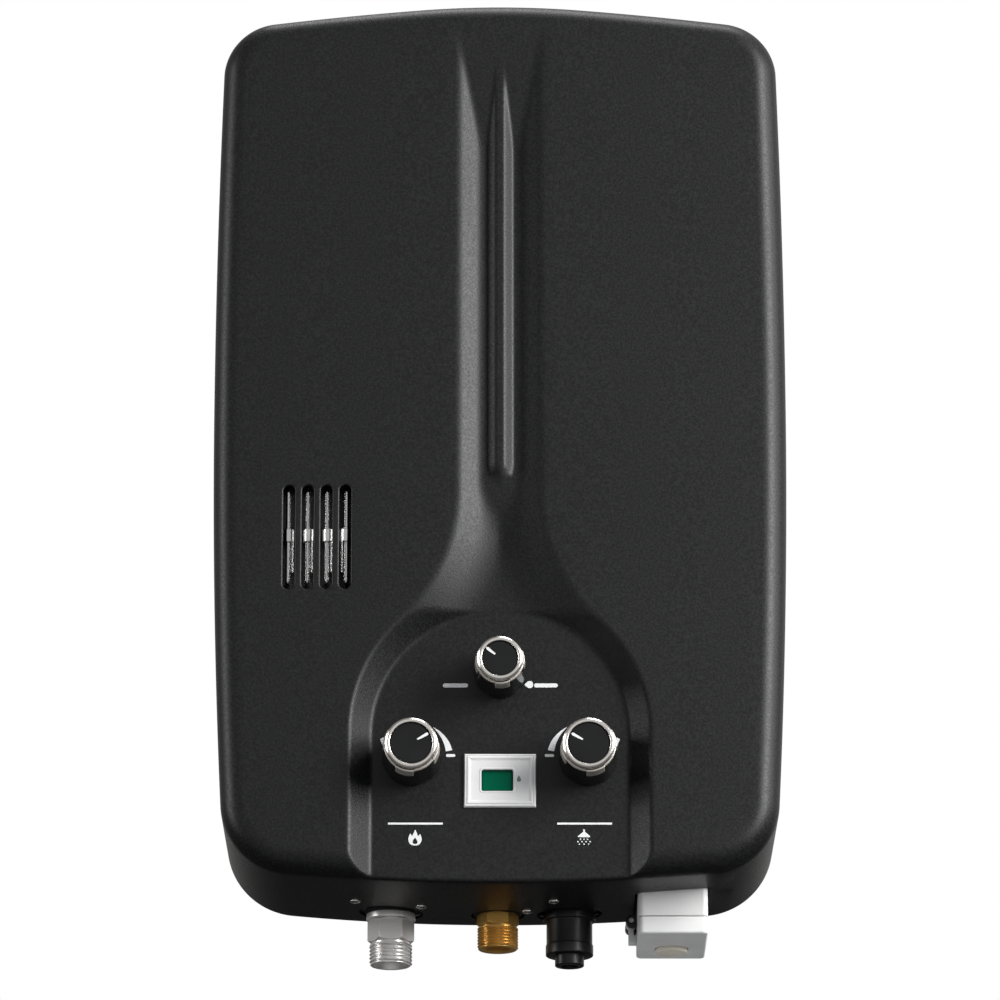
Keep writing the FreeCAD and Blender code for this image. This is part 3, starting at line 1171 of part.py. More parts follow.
def gas_manifold():
    """Block that the gas valve's riser feeds, and the rail with one nozzle for each burner."""
    x, z = SEASON_KNOB["x"], SEASON_KNOB["z"]
    rail_y = (RAIL_Y[0] + RAIL_Y[1]) / 2
    parts = [block(-MIXER_HALF, MIXER_HALF, *MIXER_Y, mixer_foot(), RAIL_Z - MIXER_TOP),
             block(-RAIL_HALF, RAIL_HALF, *RAIL_Y, RAIL_Z - RAIL_HALF_HEIGHT, RAIL_Z + RAIL_HALF_HEIGHT),
             knob_boss(x, z, KNOB_BOSS_FRONT_Y, SEASON_BOSS_R)]
    parts += [rod(vec(x, RAIL_Y[0], NOZZLE_Z), OUT, NOZZLE_R, NOZZLE_LENGTH) for x in burner_centres()]
    bores = [spindle_bore(x, z, KNOB_BOSS_FRONT_Y),
             axis_x(-RAIL_HALF + RAIL_END, RAIL_HALF - RAIL_END, RAIL_BORE_R, rail_y, RAIL_Z),
             rod(vec(GAS_RISER_X, VALVE_Y, mixer_foot() - 1), UP, GAS_BORE_R, 1 + MIXER_BORE_DEPTH)]
    bores += [rod(vec(x, rail_y, NOZZLE_Z), OUT, NOZZLE_BORE_R, 2 * NOZZLE_LENGTH) for x in burner_centres()]
    return fused(parts).cut(bores)


def mixer_foot():
    return RAIL_Z - MIXER_RISE


def burner_centres():
    return [k * BURNER_PITCH for k in range(-BURNER_SIDE_COUNT, BURNER_SIDE_COUNT + 1)]


def burner_bars():
    bars = []
    y0, y1 = BURNER_Y
    z0, z1 = BURNER_Z
    for x in burner_centres():
        bar = block(x - BURNER_WIDTH / 2, x + BURNER_WIDTH / 2, y0, y1, z0, z1)
        top = [e for e in bar.Edges if e.BoundBox.YLength > (y1 - y0) / 2 and e.BoundBox.ZMin > z1 - 1]
        bar = bar.makeFillet(BURNER_ROUND, top)
        bore_z = z0 + BURNER_BORE_RISE
        cuts = [rod(vec(x, y1 + 1, bore_z), OUT, BURNER_BORE_R, y1 - y0 - 2 * BURNER_WALL),
                block(x - BURNER_THROAT_HALF, x + BURNER_THROAT_HALF, y0 + BURNER_WALL, y1 - BURNER_WALL,
                      bore_z, z1 - BURNER_WALL)]
        cuts += [block(x - FLAME_PORT_HALF, x + FLAME_PORT_HALF, y, y + FLAME_PORT_WIDTH,
                       z1 - FLAME_PORT_DEPTH, z1 + 1)
                 for y in range(int(y0) + FLAME_PORT_PITCH, int(y1 - BURNER_WALL), FLAME_PORT_PITCH)]
        bars.append(bar.cut(cuts))
    return Part.makeCompound(bars)


def open_box(half, y0, y1, z0, z1, sheet):
    """Four walls of sheet, open above and below."""
    room = block(-half + sheet, half - sheet, y0 + sheet, y1 - sheet, z0 - 1, z1 + 1)
    return block(-half, half, y0, y1, z0, z1).cut(room)


def burner_frame():
    y0, y1 = CHAMBER_Y
    sides = open_box(CHAMBER_HALF, y0, y1, FRAME_Z, CHAMBER_Z[0], CHAMBER_SHEET)
    window = CHAMBER_HALF - FRAME_POST
    sides = sides.cut(block(-window, window, FRAME_WINDOW_Y, 0, FRAME_Z - 1, RAIL_Z + FRAME_WINDOW_RISE))
    rests = [block(-CHAMBER_HALF, CHAMBER_HALF, y - REST_HALF, y + REST_HALF,
                   BURNER_Z[0] - REST_THICK, BURNER_Z[0])
             for y in (BURNER_Y[0] + REST_INSET, BURNER_Y[1] - REST_INSET)]
    return fused([sides] + rests)


def ignition_electrodes():
    y, z = CHAMBER_Y[0], CHAMBER_Z[0] + ELECTRODE_LIFT
    return Part.makeCompound([fused([rod(vec(x, y - SLEEVE_OUT, z), BACK, ELECTRODE_R, SLEEVE_LENGTH),
                                     rod(vec(x, y - ELECTRODE_OUT, z), BACK, ELECTRODE_WIRE_R,
                                         ELECTRODE_LENGTH)])
                              for x in (-ELECTRODE_X, ELECTRODE_X)])


def igniter_box():
    w, d, h = IGNITER_SIZE
    x0 = CHAMBER_HALF + IGNITER_X
    body = rounded_block(x0, x0 + w, -d, -PLATE, IGNITER_Z, IGNITER_Z + h, IGNITER_CORNER_R)
    long, deep, tall = IGNITER_PLUG
    centres = [x0 + w / 2 + k * IGNITER_PLUG_PITCH for k in (-1, 0, 1)]
    plugs = [block(x - long / 2, x + long / 2, IGNITER_PLUG_Y, IGNITER_PLUG_Y + deep,
                   IGNITER_Z - tall, IGNITER_Z) for x in centres]
    return fused([body] + plugs)


# ---------------------------------------------------------------- exchanger, pipes, flue

def combustion_chamber():
    y0, y1 = CHAMBER_Y
    shell = open_box(CHAMBER_HALF, y0, y1, *CHAMBER_Z, CHAMBER_SHEET)
    holes = [axis_x(-CHAMBER_HALF - 1, CHAMBER_HALF + 1, TUBE_R, y, EXCHANGER_Z) for y in TUBE_ROWS]
    holes += [rod(vec(x, y0 - 1, CHAMBER_Z[0] + ELECTRODE_LIFT), BACK, ELECTRODE_R, 3)
              for x in (-ELECTRODE_X, ELECTRODE_X)]
    foot_w, foot_h = CHAMBER_FOOT
    feet = [block(x - foot_w / 2, x + foot_w / 2, y1, -PLATE, z, z + foot_h)
            for x in (-CHAMBER_FOOT_X, CHAMBER_FOOT_X)
            for z in (CHAMBER_Z[0] + CHAMBER_FOOT_INSET, CHAMBER_Z[1] - CHAMBER_FOOT_INSET - foot_h)]
    return fused([shell.cut(holes)] + feet)


def exchanger_fins():
    gap = CHAMBER_SHEET
    fins = []
    for k in range(-FIN_SIDE_COUNT, FIN_SIDE_COUNT + 1):
        x = k * FIN_PITCH
        fin = block(x - FIN_THICK / 2, x + FIN_THICK / 2, CHAMBER_Y[0] + gap, CHAMBER_Y[1] - gap, *FIN_Z)
        fins.append(fin.cut([axis_x(x - 1, x + 1, TUBE_R, y, EXCHANGER_Z) for y in TUBE_ROWS]))
    return Part.makeCompound(fins)


def bent_path(points, radius):
    """Straight runs joined by tangent arcs of one radius."""
    edges, start = [], points[0]
    for before, corner, after in zip(points, points[1:], points[2:]):
        a, b = (before - corner).normalize(), (after - corner).normalize()
        half_angle = a.getAngle(b) / 2
        cut = radius / math.tan(half_angle)
        first, last = corner + a * cut, corner + b * cut
        middle = (a + b).normalize()
        centre = corner + middle * (radius / math.sin(half_angle))
        if (first - start).Length > 1e-6:
            edges.append(Part.makeLine(start, first))
        edges.append(Part.Arc(first, centre - middle * radius, last).toShape())
        start = last
    edges.append(Part.makeLine(start, points[-1]))
    return Part.Wire(edges)


def bent_tube(points, radius):
    path = bent_path(points, radius)
    direction = (points[1] - points[0]).normalize()
    solids = [path.makePipeShell([Part.Wire(Part.makeCircle(r, points[0], direction))], True, True)
              for r in (TUBE_R, TUBE_R - TUBE_WALL)]
    return solids[0].cut(solids[1])


def exchanger_tube():
    front, middle, rear = TUBE_ROWS
    end = CHAMBER_HALF + TUBE_STUB
    bend = (front - middle) / -2
    turn = end + bend
    points = [vec(end, front, EXCHANGER_Z), vec(-turn, front, EXCHANGER_Z), vec(-turn, middle, EXCHANGER_Z),
              vec(turn, middle, EXCHANGER_Z), vec(turn, rear, EXCHANGER_Z), vec(-end, rear, EXCHANGER_Z)]
    return bent_tube(points, bend - RETURN_SLACK)


def cold_pipe():
    end = CHAMBER_HALF + TUBE_STUB
    front = TUBE_ROWS[0]
    points = [vec(WATER_BODY_END_X, VALVE_Y, VALVE_Z), vec(RISER_X, VALVE_Y, VALVE_Z),
              vec(RISER_X, front, VALVE_Z + COLD_SWEEP), vec(RISER_X, front, EXCHANGER_Z),
              vec(end, front, EXCHANGER_Z)]
    return bent_tube(points, BEND_R)


def hot_pipe():
    end = CHAMBER_HALF + TUBE_STUB
    rear = TUBE_ROWS[-1]
    points = [vec(-end, rear, EXCHANGER_Z), vec(-RISER_X, rear, EXCHANGER_Z),
              vec(-RISER_X, rear, HOT_RUN_Z + HOT_SWEEP),
              vec(-RISER_X + HOT_SWEEP, PORT_Y, HOT_RUN_Z), vec(OUTLET_X, PORT_Y, HOT_RUN_Z),
              vec(OUTLET_X, PORT_Y, HOT_RUN_Z - HOT_DROP)]
    return bent_tube(points, HOT_BEND_R)


def frustum(half0, ys0, z0, half1, ys1, z1):
    wires = [Part.makePolygon([vec(h, ys[0], z), vec(h, ys[1], z), vec(-h, ys[1], z), vec(-h, ys[0], z),
                               vec(h, ys[0], z)])
             for h, ys, z in ((half0, ys0, z0), (half1, ys1, z1))]
    return Part.makeLoft(wires, True, True)


def flue_hood():
    s = CHAMBER_SHEET
    low = CHAMBER_Z[1]
    outer = [frustum(CHAMBER_HALF, CHAMBER_Y, low, NECK_HALF, NECK_Y, HOOD_TOP_Z),
             block(-NECK_HALF, NECK_HALF, *NECK_Y, HOOD_TOP_Z, HOOD_NECK_Z)]
    shrink = [(CHAMBER_Y[0] + s, CHAMBER_Y[1] - s), (NECK_Y[0] + s, NECK_Y[1] - s)]
    inner = [frustum(CHAMBER_HALF - s, shrink[0], low, NECK_HALF - s, shrink[1], HOOD_TOP_Z),
             block(-NECK_HALF + s, NECK_HALF - s, *shrink[1], HOOD_TOP_Z, HOOD_NECK_Z)]
    return fused(outer).cut(fused(inner))


def overheat_thermostat():
    x, y, z = -CHAMBER_HALF, (TUBE_ROWS[0] + TUBE_ROWS[1]) / 2, THERMOSTAT_Z
    long, thick, tall = THERMOSTAT_BLADE
    low_x = x - THERMOSTAT_THICK
    blades = [block(low_x - long, low_x, edge, edge + thick, z - tall / 2, z + tall / 2)
              for edge in (y - tall / 2 - thick, y + tall / 2)]
    return fused([axis_x(low_x, x, THERMOSTAT_R, y, z)] + blades)


def build():
    parts = {
        "front_cover": front_cover(), "back_plate": back_plate(), "connection_bracket": connection_bracket(),
        "flue_grille": flue_grille(), "cover_screws": cover_screws(), "guard_frame": guard_frame(),
        "guard_rods": guard_rods(), "guard_clips": guard_clips(), "guard_studs": guard_studs(),
        "display_bezel": display_bezel(), "display_window": window_block(WINDOW_THICK, WINDOW_PROUD),
        "display_board": display_board(), "hot_water_outlet": hot_water_outlet(), "gas_inlet": gas_inlet(),
        "water_inlet": water_inlet(), "port_gaskets": port_gaskets(), "port_nuts": port_nuts(),
        "battery_box": battery_box(), "battery_lid": battery_lid(), "battery_button": battery_button(),
        "battery_bracket": battery_bracket(), "lid_hinge_pin": lid_hinge_pin(),
        "front_cell": battery_cell(cell_centres()[0], False),
        "rear_cell": battery_cell(cell_centres()[1], True), "top_contacts": top_contacts(),
        "lid_contact": lid_contact(), "water_valve_body": water_valve_body(),
        "water_valve_cover": water_valve_cover(), "diaphragm": diaphragm(), "push_rod": push_rod(),
        "valve_spring": valve_spring(), "valve_screws": valve_screws(), "microswitch": microswitch(),
        "microswitch_lever": microswitch_lever(), "gas_valve_body": gas_valve_body(),
        "gas_solenoid": gas_solenoid(), "gas_manifold": gas_manifold(), "burner_bars": burner_bars(),
        "burner_frame": burner_frame(), "ignition_electrodes": ignition_electrodes(),
        "igniter_box": igniter_box(), "combustion_chamber": combustion_chamber(),
        "exchanger_fins": exchanger_fins(), "exchanger_tube": exchanger_tube(), "cold_pipe": cold_pipe(),
        "hot_pipe": hot_pipe(), "flue_hood": flue_hood(), "overheat_thermostat": overheat_thermostat(),
    }
    for name, knob, side in (("gas", SIDE_KNOB, -1), ("water", SIDE_KNOB, 1), ("season", SEASON_KNOB, 1)):
        pieces = knob_parts(knob, side, KNOB_BOSS_FRONT_Y)
        for suffix, piece in zip(("knob", "knob_trim", "knob_cap", "spindle"), pieces):
            parts[name + "_" + suffix] = piece
    return parts


os.makedirs("parts", exist_ok=True)
for node, shape in build().items():
    shape.exportStep("parts/" + node + ".step")
    print(node, "solids", len(shape.Solids), "valid", shape.isValid(), "volume", round(shape.Volume, 1))
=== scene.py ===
"""Looks of the portable propane water heater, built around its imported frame.

Shapes are worked out in millimetres in the frame's own axes (x to the right, y into the wall, z up)
and turned into metres once, where a piece's mesh is made.
"""
import json
import math
import bmesh
import bpy
import numpy as np
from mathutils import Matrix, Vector
from mathutils.geometry import delaunay_2d_cdt


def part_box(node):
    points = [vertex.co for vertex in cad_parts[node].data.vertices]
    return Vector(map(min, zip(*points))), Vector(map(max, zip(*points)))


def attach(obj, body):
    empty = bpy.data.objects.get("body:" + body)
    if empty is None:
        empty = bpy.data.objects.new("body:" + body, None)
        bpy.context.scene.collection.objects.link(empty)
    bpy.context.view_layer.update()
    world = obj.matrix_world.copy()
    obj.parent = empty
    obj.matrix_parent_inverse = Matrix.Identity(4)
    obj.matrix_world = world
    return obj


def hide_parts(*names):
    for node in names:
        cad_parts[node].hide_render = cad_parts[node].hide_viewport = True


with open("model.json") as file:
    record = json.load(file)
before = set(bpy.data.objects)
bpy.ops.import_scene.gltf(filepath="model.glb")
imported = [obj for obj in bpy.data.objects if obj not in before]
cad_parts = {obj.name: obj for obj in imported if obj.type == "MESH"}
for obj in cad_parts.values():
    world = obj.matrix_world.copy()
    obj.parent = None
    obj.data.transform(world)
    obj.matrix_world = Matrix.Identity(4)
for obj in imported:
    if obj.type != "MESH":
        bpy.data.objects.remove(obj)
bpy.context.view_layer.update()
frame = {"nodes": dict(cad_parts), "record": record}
NODES = frame["nodes"]
SLOT_OF = {part["node"]: part["material_slot"] for part in frame["record"]["subparts"]}
BODIES = frame["record"]["behaviour"]["bodies"]
BODY_OF = {node: body for body, members in BODIES.items() for node in members}
MM = 0.001


def span(node):
    """(lowest, highest) corner of a node, in millimetres."""
    low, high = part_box(node)
    return low / MM, high / MM


# ---------------------------------------------------------------- shader values

class Value:
    """One output of a shader node; arithmetic on it adds the Math nodes that work it out."""

    def __init__(self, finish, socket):
        self.finish = finish
        self.socket = socket

    def math(self, operation, first, second=0.0, clamp=False):
        settings = {"operation": operation, "use_clamp": clamp}
        return self.finish.node("ShaderNodeMath", settings, {0: first, 1: second})

    def __add__(self, other):
        return self.math("ADD", self, other)

    def __radd__(self, other):
        return self.math("ADD", other, self)

    def __sub__(self, other):
        return self.math("SUBTRACT", self, other)

    def __rsub__(self, other):
        return self.math("SUBTRACT", other, self)

    def __mul__(self, other):
        return self.math("MULTIPLY", self, other)

    def __rmul__(self, other):
        return self.math("MULTIPLY", other, self)

    def __truediv__(self, other):
        return self.math("DIVIDE", self, other)

    def __rtruediv__(self, other):
        return self.math("DIVIDE", other, self)

    def above(self, low, high):
        """0 below low, 1 above high and a straight ramp between."""
        return self.math("MULTIPLY", self - low, 1 / (high - low), clamp=True)


class Finish:
    """A node tree with its surface shader: node() is the one way anything is added to it."""

    def __init__(self, name, owner=None):
        self.owner = owner or bpy.data.materials.new(name)
        self.owner.use_nodes = True
        self.tree = self.owner.node_tree
        self.tree.nodes.clear()
        if owner is None:
            self.surface = self.node("ShaderNodeBsdfPrincipled")
            self.node("ShaderNodeOutputMaterial", inputs={"Surface": self.surface})

    def feed(self, socket, value):
        if isinstance(value, Value):
            self.tree.links.new(value.socket, socket)
        else:
            socket.default_value = value

    def node(self, kind, settings=None, inputs=None, output=0):
        """Adds a node with its settings and inputs; gives one of its outputs, if it has any."""
        made = self.tree.nodes.new(kind)
        for name, value in (settings or {}).items():
            setattr(made, name, value)
        for name, value in (inputs or {}).items():
            self.feed(made.inputs[name], value)
        return Value(self, made.outputs[output]) if made.outputs else None

    def set(self, **inputs):
        """Sets or links inputs of the surface shader."""
        for name, value in inputs.items():
            self.feed(self.surface.socket.node.inputs[name.replace("_", " ")], value)

    def place(self):
        return self.node("ShaderNodeTexCoord", output=3)

    def parts(self, vector):
        return [self.node("ShaderNodeSeparateXYZ", inputs={0: vector}, output=k) for k in range(3)]

    def noise(self, size_mm, detail=2.0, stretch=(1, 1, 1), roughness=0.5):
        """Value noise whose lumps are about size_mm across, drawn out along the axes by stretch."""
        place = self.node("ShaderNodeVectorMath", {"operation": "MULTIPLY"},
                          {0: self.place(), 1: tuple(1 / s for s in stretch)})
        return self.node("ShaderNodeTexNoise", inputs={"Vector": place, "Scale": 1 / (size_mm * MM),
                                                       "Detail": detail, "Roughness": roughness})

    def cells(self, size_mm, output=0):
        return self.node("ShaderNodeTexVoronoi", inputs={"Vector": self.place(), "Scale": 1 / (size_mm * MM)},
                         output=output)

    def mix(self, share, one, other):
        return self.node("ShaderNodeMix", {"data_type": "RGBA"}, {0: share, 6: one, 7: other}, output=2)

    def bump(self, height, depth_mm, strength=1.0):
        return self.node("ShaderNodeBump", inputs={"Height": height, "Distance": depth_mm * MM,
                                                   "Strength": strength})


def grey(level, warm=0.0):
    return (level * (1 + warm), level, level * (1 - warm), 1.0)


# ---------------------------------------------------------------- finishes, one for each slot

def casing_paint():
    """Black powder coat with a fine wrinkle."""
    paint = Finish("casing_paint")
    wrinkle = paint.noise(1.15, detail=3.0, roughness=0.6)
    pits = paint.noise(0.5, detail=1.0)
    drift = paint.noise(70.0)
    lift = wrinkle.above(0.38, 0.68)
    paint.set(Base_Color=paint.mix(lift, grey(0.0045, -0.03), grey(0.0115, -0.03)), Metallic=0.0,
              Roughness=0.36 + 0.11 * lift + 0.04 * drift, Specular_IOR_Level=0.3,
              Normal=paint.bump(wrinkle + 0.35 * pits, 0.12, 0.5))
    return paint


def zinc_steel():
    metal = Finish("zinc_steel")
    spangle = metal.parts(metal.cells(7.0, output=1))[0]
    haze = metal.noise(22.0, detail=4.0)
    metal.set(Base_Color=metal.mix(spangle, grey(0.54, -0.02), grey(0.62, -0.01)), Metallic=1.0,
              Roughness=0.36 + 0.05 * spangle + 0.1 * haze, Normal=metal.bump(haze, 0.05, 0.4))
    return metal


def brushed(name, dark, light, rough, stretch, lines_mm=0.35, metallic=1.0):
    """Metal with fine drawn or turned lines along the long axis of stretch."""
    metal = Finish(name)
    lines = metal.noise(lines_mm, detail=2.0, stretch=stretch)
    stain = metal.noise(9.0, detail=3.0)
    metal.set(Base_Color=metal.mix(lines.above(0.3, 0.75) * 0.7 + stain.above(0.4, 0.8) * 0.3, dark, light),
              Metallic=metallic, Roughness=rough + 0.12 * lines + 0.06 * stain,
              Normal=metal.bump(lines, 0.012, 0.5))
    return metal


def bright_steel():
    return brushed("bright_steel", grey(0.62), grey(0.8), 0.16, (1, 1, 14))


def stainless():
    return brushed("stainless", grey(0.78, 0.02), grey(0.93, 0.02), 0.26, (14, 14, 0.8), metallic=0.7)


def brass():
    return brushed("brass", (0.72, 0.4, 0.09, 1), (0.9, 0.56, 0.17, 1), 0.26, (14, 14, 0.8), metallic=0.75)


def contact_metal():
    return brushed("contact_metal", grey(0.5, 0.05), grey(0.66, 0.04), 0.22, (10, 1, 1))


def stamped_steel():
    return brushed("stamped_steel", grey(0.36), grey(0.52), 0.34, (1, 1, 12), lines_mm=0.8)


def copper():
    return brushed("copper", (0.42, 0.15, 0.07, 1), (0.72, 0.34, 0.19, 1), 0.22, (12, 12, 1))


def cast_aluminium():
    metal = Finish("cast_aluminium")
    skin = metal.noise(0.9, detail=4.0, roughness=0.65)
    flow = metal.noise(30.0, detail=3.0)
    metal.set(Base_Color=metal.mix(flow, grey(0.42), grey(0.6)), Metallic=0.9, Roughness=0.5 + 0.18 * skin,
              Normal=metal.bump(skin, 0.12, 0.7))
    return metal


def chrome():
    plate = Finish("chrome")
    haze = plate.noise(3.0, detail=3.0)
    plate.set(Base_Color=plate.mix(haze, (0.86, 0.82, 0.78, 1), (0.93, 0.9, 0.87, 1)), Metallic=1.0,
              Roughness=0.17 + 0.08 * haze)
    return plate


def satin_chrome():
    """The knobs' collars: the same plate as their rings, but duller."""
    plate = Finish("satin_chrome")
    haze = plate.noise(2.0, detail=3.0)
    plate.set(Base_Color=plate.mix(haze, (0.6, 0.555, 0.5, 1), (0.7, 0.655, 0.6, 1)), Metallic=0.7,
              Roughness=0.28 + 0.1 * haze)
    return plate


def moulded(name, dark, light, rough, grain_mm=0.5, grain_depth=0.03, specular=0.5):
    """Plastic or rubber with a moulded grain, a little uneven in colour and gloss."""
    plastic = Finish(name)
    grain = plastic.noise(grain_mm, detail=2.0)
    drift = plastic.noise(18.0, detail=3.0)
    plastic.set(Base_Color=plastic.mix(drift.above(0.3, 0.7), dark, light), Metallic=0.0,
                Roughness=rough + 0.08 * grain + 0.06 * drift, Specular_IOR_Level=specular,
                Normal=plastic.bump(grain, grain_depth, 0.6))
    return plastic


def black_plastic():
    return moulded("black_plastic", grey(0.005), grey(0.009), 0.3, specular=0.4)


def knob_black():
    return moulded("knob_black", grey(0.004), grey(0.007), 0.13, grain_mm=2.0, grain_depth=0.01,
                   specular=0.45)


def cap_black():
    return moulded("cap_black", grey(0.009, -0.02), grey(0.013, -0.02), 0.5, specular=0.12)


def white_plastic():
    return moulded("white_plastic", grey(0.79, 0.012), grey(0.85, 0.01), 0.34)


def cream_plastic():
    return moulded("cream_plastic", (0.82, 0.76, 0.63, 1), (0.88, 0.82, 0.7, 1), 0.38)


def rubber():
    return moulded("rubber", grey(0.010), grey(0.016), 0.62, grain_mm=0.8, grain_depth=0.06, specular=0.3)


def circuit_board():
    return moulded("circuit_board", (0.012, 0.1, 0.04, 1), (0.03, 0.18, 0.08, 1), 0.3, grain_mm=1.2)


LABEL_BAND = 0.014        # where the cells' end band starts and is full, below their tops, in metres
LABEL_BAND_EDGE = 0.0138


def cell_label():
    """Dark printed sleeve with a copper-coloured end band."""
    sleeve = Finish("cell_label")
    height = sleeve.parts(sleeve.place())[2]
    low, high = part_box("front_cell")
    band = height.above(high.z - LABEL_BAND, high.z - LABEL_BAND_EDGE)
    grain = sleeve.noise(0.6)
    sleeve.set(Base_Color=sleeve.mix(band, (0.03, 0.035, 0.05, 1), (0.5, 0.24, 0.09, 1)),
               Metallic=0.6 * band, Roughness=0.28 + 0.1 * grain, Normal=sleeve.bump(grain, 0.02, 0.4))
    return sleeve


SCREEN_SIDE = 0.0012      # painted shade: margins of the screen inside its window, darkened as if shaded by the bezel round it, in metres
SCREEN_TOP = 0.0022
SCREEN_FOOT = (-0.0004, 0.0009)


def green_window():
    """Clear cover over a dark green screen, with the bezel's shade painted on it: darker margins, and darker
    towards the top.
    """
    screen = Finish("green_window")
    across, _, height = screen.parts(screen.place())
    low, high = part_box("display_window")
    rise = (height - low.z) / (high.z - low.z)
    sheen = screen.noise(5.0, detail=2.0)
    # painted shade: the screen's margins are painted darker, as if shaded by the bezel round the window
    edge = (across - low.x).above(0.0, SCREEN_SIDE) * (high.x - across).above(0.0, SCREEN_SIDE)
    unshaded_middle = edge * (high.z - height).above(0.0, SCREEN_TOP) * (height - low.z).above(*SCREEN_FOOT)
    # painted shade: the screen's colour darkens towards its top, as if under the bezel's upper lip; the noise
    # adds a random tone
    tone_with_painted_shade = screen.mix(rise * 0.6 + sheen * 0.25, (0.0, 0.125, 0.062, 1), (0.0, 0.085, 0.043, 1))
    screen.set(Base_Color=screen.mix(unshaded_middle, (0.0, 0.03, 0.016, 1), tone_with_painted_shade), Metallic=0.0,
               Roughness=0.25 + 0.1 * sheen, Specular_IOR_Level=0.06)
    return screen


def print_white():
    return moulded("print_white", grey(0.80), grey(0.86), 0.42, grain_mm=0.4, grain_depth=0.01)


def mark_green():
    return moulded("mark_green", (0.16, 0.22, 0.2, 1), (0.2, 0.27, 0.24, 1), 0.42, grain_mm=0.4,
                   grain_depth=0.01)


FINISHES = {make.__name__: make().owner for make in (
    casing_paint, zinc_steel, bright_steel, stainless, brass, cast_aluminium, black_plastic, knob_black,
    cap_black, chrome, satin_chrome, white_plastic, cream_plastic, green_window, circuit_board, rubber,
    cell_label, contact_metal, stamped_steel, copper, print_white, mark_green)}


def dress_node(node):
    mesh = NODES[node].data
    mesh.materials.clear()
    mesh.materials.append(FINISHES[SLOT_OF[node]])


# ---------------------------------------------------------------- mesh tools

WELD = 2e-6               # metres between points that are the same one
NODE_WELD = 4e-6
FLAT_ANGLE = 0.6          # degrees between faces that lie in one plane
HARD_ANGLE = 30.0         # degrees over which faces meet at a hard edge


def piece(name, points, faces, like, finish=None, replaces=(), sharp=35.0):
    """A new mesh from millimetre points, riding on the body of the node it is like."""
    mesh = bpy.data.meshes.new(name)
    mesh.from_pydata([(x * MM, y * MM, z * MM) for x, y, z in points], [], [tuple(f) for f in faces])
    made = bmesh.new()
    made.from_mesh(mesh)
    bmesh.ops.remove_doubles(made, verts=made.verts, dist=WELD)
    bmesh.ops.recalc_face_normals(made, faces=made.faces)
    made.to_mesh(mesh)
    made.free()
    return finish_piece(name, mesh, like, finish, replaces, sharp)


def stand_in(name, shape, node, sharp):
    """A piece that replaces the node it is like; shape is its (points, faces)."""
    return piece(name, *shape, node, replaces=(node,), sharp=sharp)


def finish_piece(name, mesh, like, finish, replaces, sharp):
    slot = finish or SLOT_OF[like]
    mesh.materials.clear()
    mesh.materials.append(FINISHES[slot])
    mesh.shade_smooth()
    mesh.set_sharp_from_angle(angle=math.radians(sharp))
    made = bpy.data.objects.new(name, mesh)
    bpy.context.scene.collection.objects.link(made)
    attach(made, BODY_OF[like])
    if replaces:
        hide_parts(*replaces)
    return made


def grid_faces(rows, columns, closed=True):
    """Quads between rows of points; closed joins the last column to the first."""
    last = columns if closed else columns - 1
    return [(r * columns + c, r * columns + (c + 1) % columns, (r + 1) * columns + (c + 1) % columns,
             (r + 1) * columns + c) for r in range(rows - 1) for c in range(last)]


def joined(shapes):
    """One (points, faces) from several."""
    points, faces = [], []
    for more, sides in shapes:
        faces += [tuple(v + len(points) for v in face) for face in sides]
        points += more
    return points, faces


def rows_mesh(rows, capped=False):
    """Skin over closed rows of points; capped closes its first and last row too."""
    points = [p for row in rows for p in row]
    wide = len(rows[0])
    faces = grid_faces(len(rows), wide)
    if capped:
        faces += [tuple(range(wide)), tuple(range(len(points) - wide, len(points)))]
    return points, faces


def arc(x, z, radius, start, step, count):
    """Points on a circle from a start angle on, in degrees."""
    turns = [math.radians(start + step * k) for k in range(count)]
    return [(x + radius * math.cos(t), z + radius * math.sin(t)) for t in turns]


def turned(x, z, along, across, angle):
    """(x, z) of a point that lies along and across a direction from another."""
    c, s = math.cos(angle), math.sin(angle)
    return x + along * c - across * s, z + along * s + across * c


def eased(points, steps=4):
    """(height, radius) rows of a profile of (radius, height, rounding) corners, with these rounded."""
    path = []
    for k, (r, a, ease) in enumerate(points):
        if not ease or k in (0, len(points) - 1):
            path.append((r, a))
            continue
        corner = np.array((r, a))
        ends = []
        for other in (points[k - 1], points[k + 1]):
            way = np.array(other[:2]) - corner
            length = np.linalg.norm(way)
            ends.append(corner + way / length * min(ease, length / 2))
        for t in np.linspace(0, 1, steps + 1):
            path.append(tuple((1 - t) ** 2 * ends[0] + 2 * t * (1 - t) * corner + t * t * ends[1]))
    return [(a, r) for r, a in path]


def node_mesh(node):
    """Editable copy of a node's mesh, with its faces joined at their edges."""
    made = bmesh.new()
    made.from_mesh(NODES[node].data)
    bmesh.ops.remove_doubles(made, verts=made.verts, dist=NODE_WELD)
    return made


def softened(node, width_mm):
    """Copy of a node's mesh with its hard edges rounded, standing for the node."""
    made = node_mesh(node)
    flat = math.radians(FLAT_ANGLE)
    bmesh.ops.dissolve_limit(made, angle_limit=flat, verts=made.verts, edges=made.edges)
    hard = math.radians(HARD_ANGLE)
    edges = [e for e in made.edges if len(e.link_faces) == 2 and e.calc_face_angle(0) > hard]
    bmesh.ops.bevel(made, geom=edges, offset=width_mm * MM, segments=2, profile=0.5, affect="EDGES",
                    clamp_overlap=True)
    mesh = bpy.data.meshes.new(node + "_soft")
    made.to_mesh(mesh)
    made.free()
    finish_piece(node + "_soft", mesh, node, None, (node,), 40.0)


# ---------------------------------------------------------------- casing outline

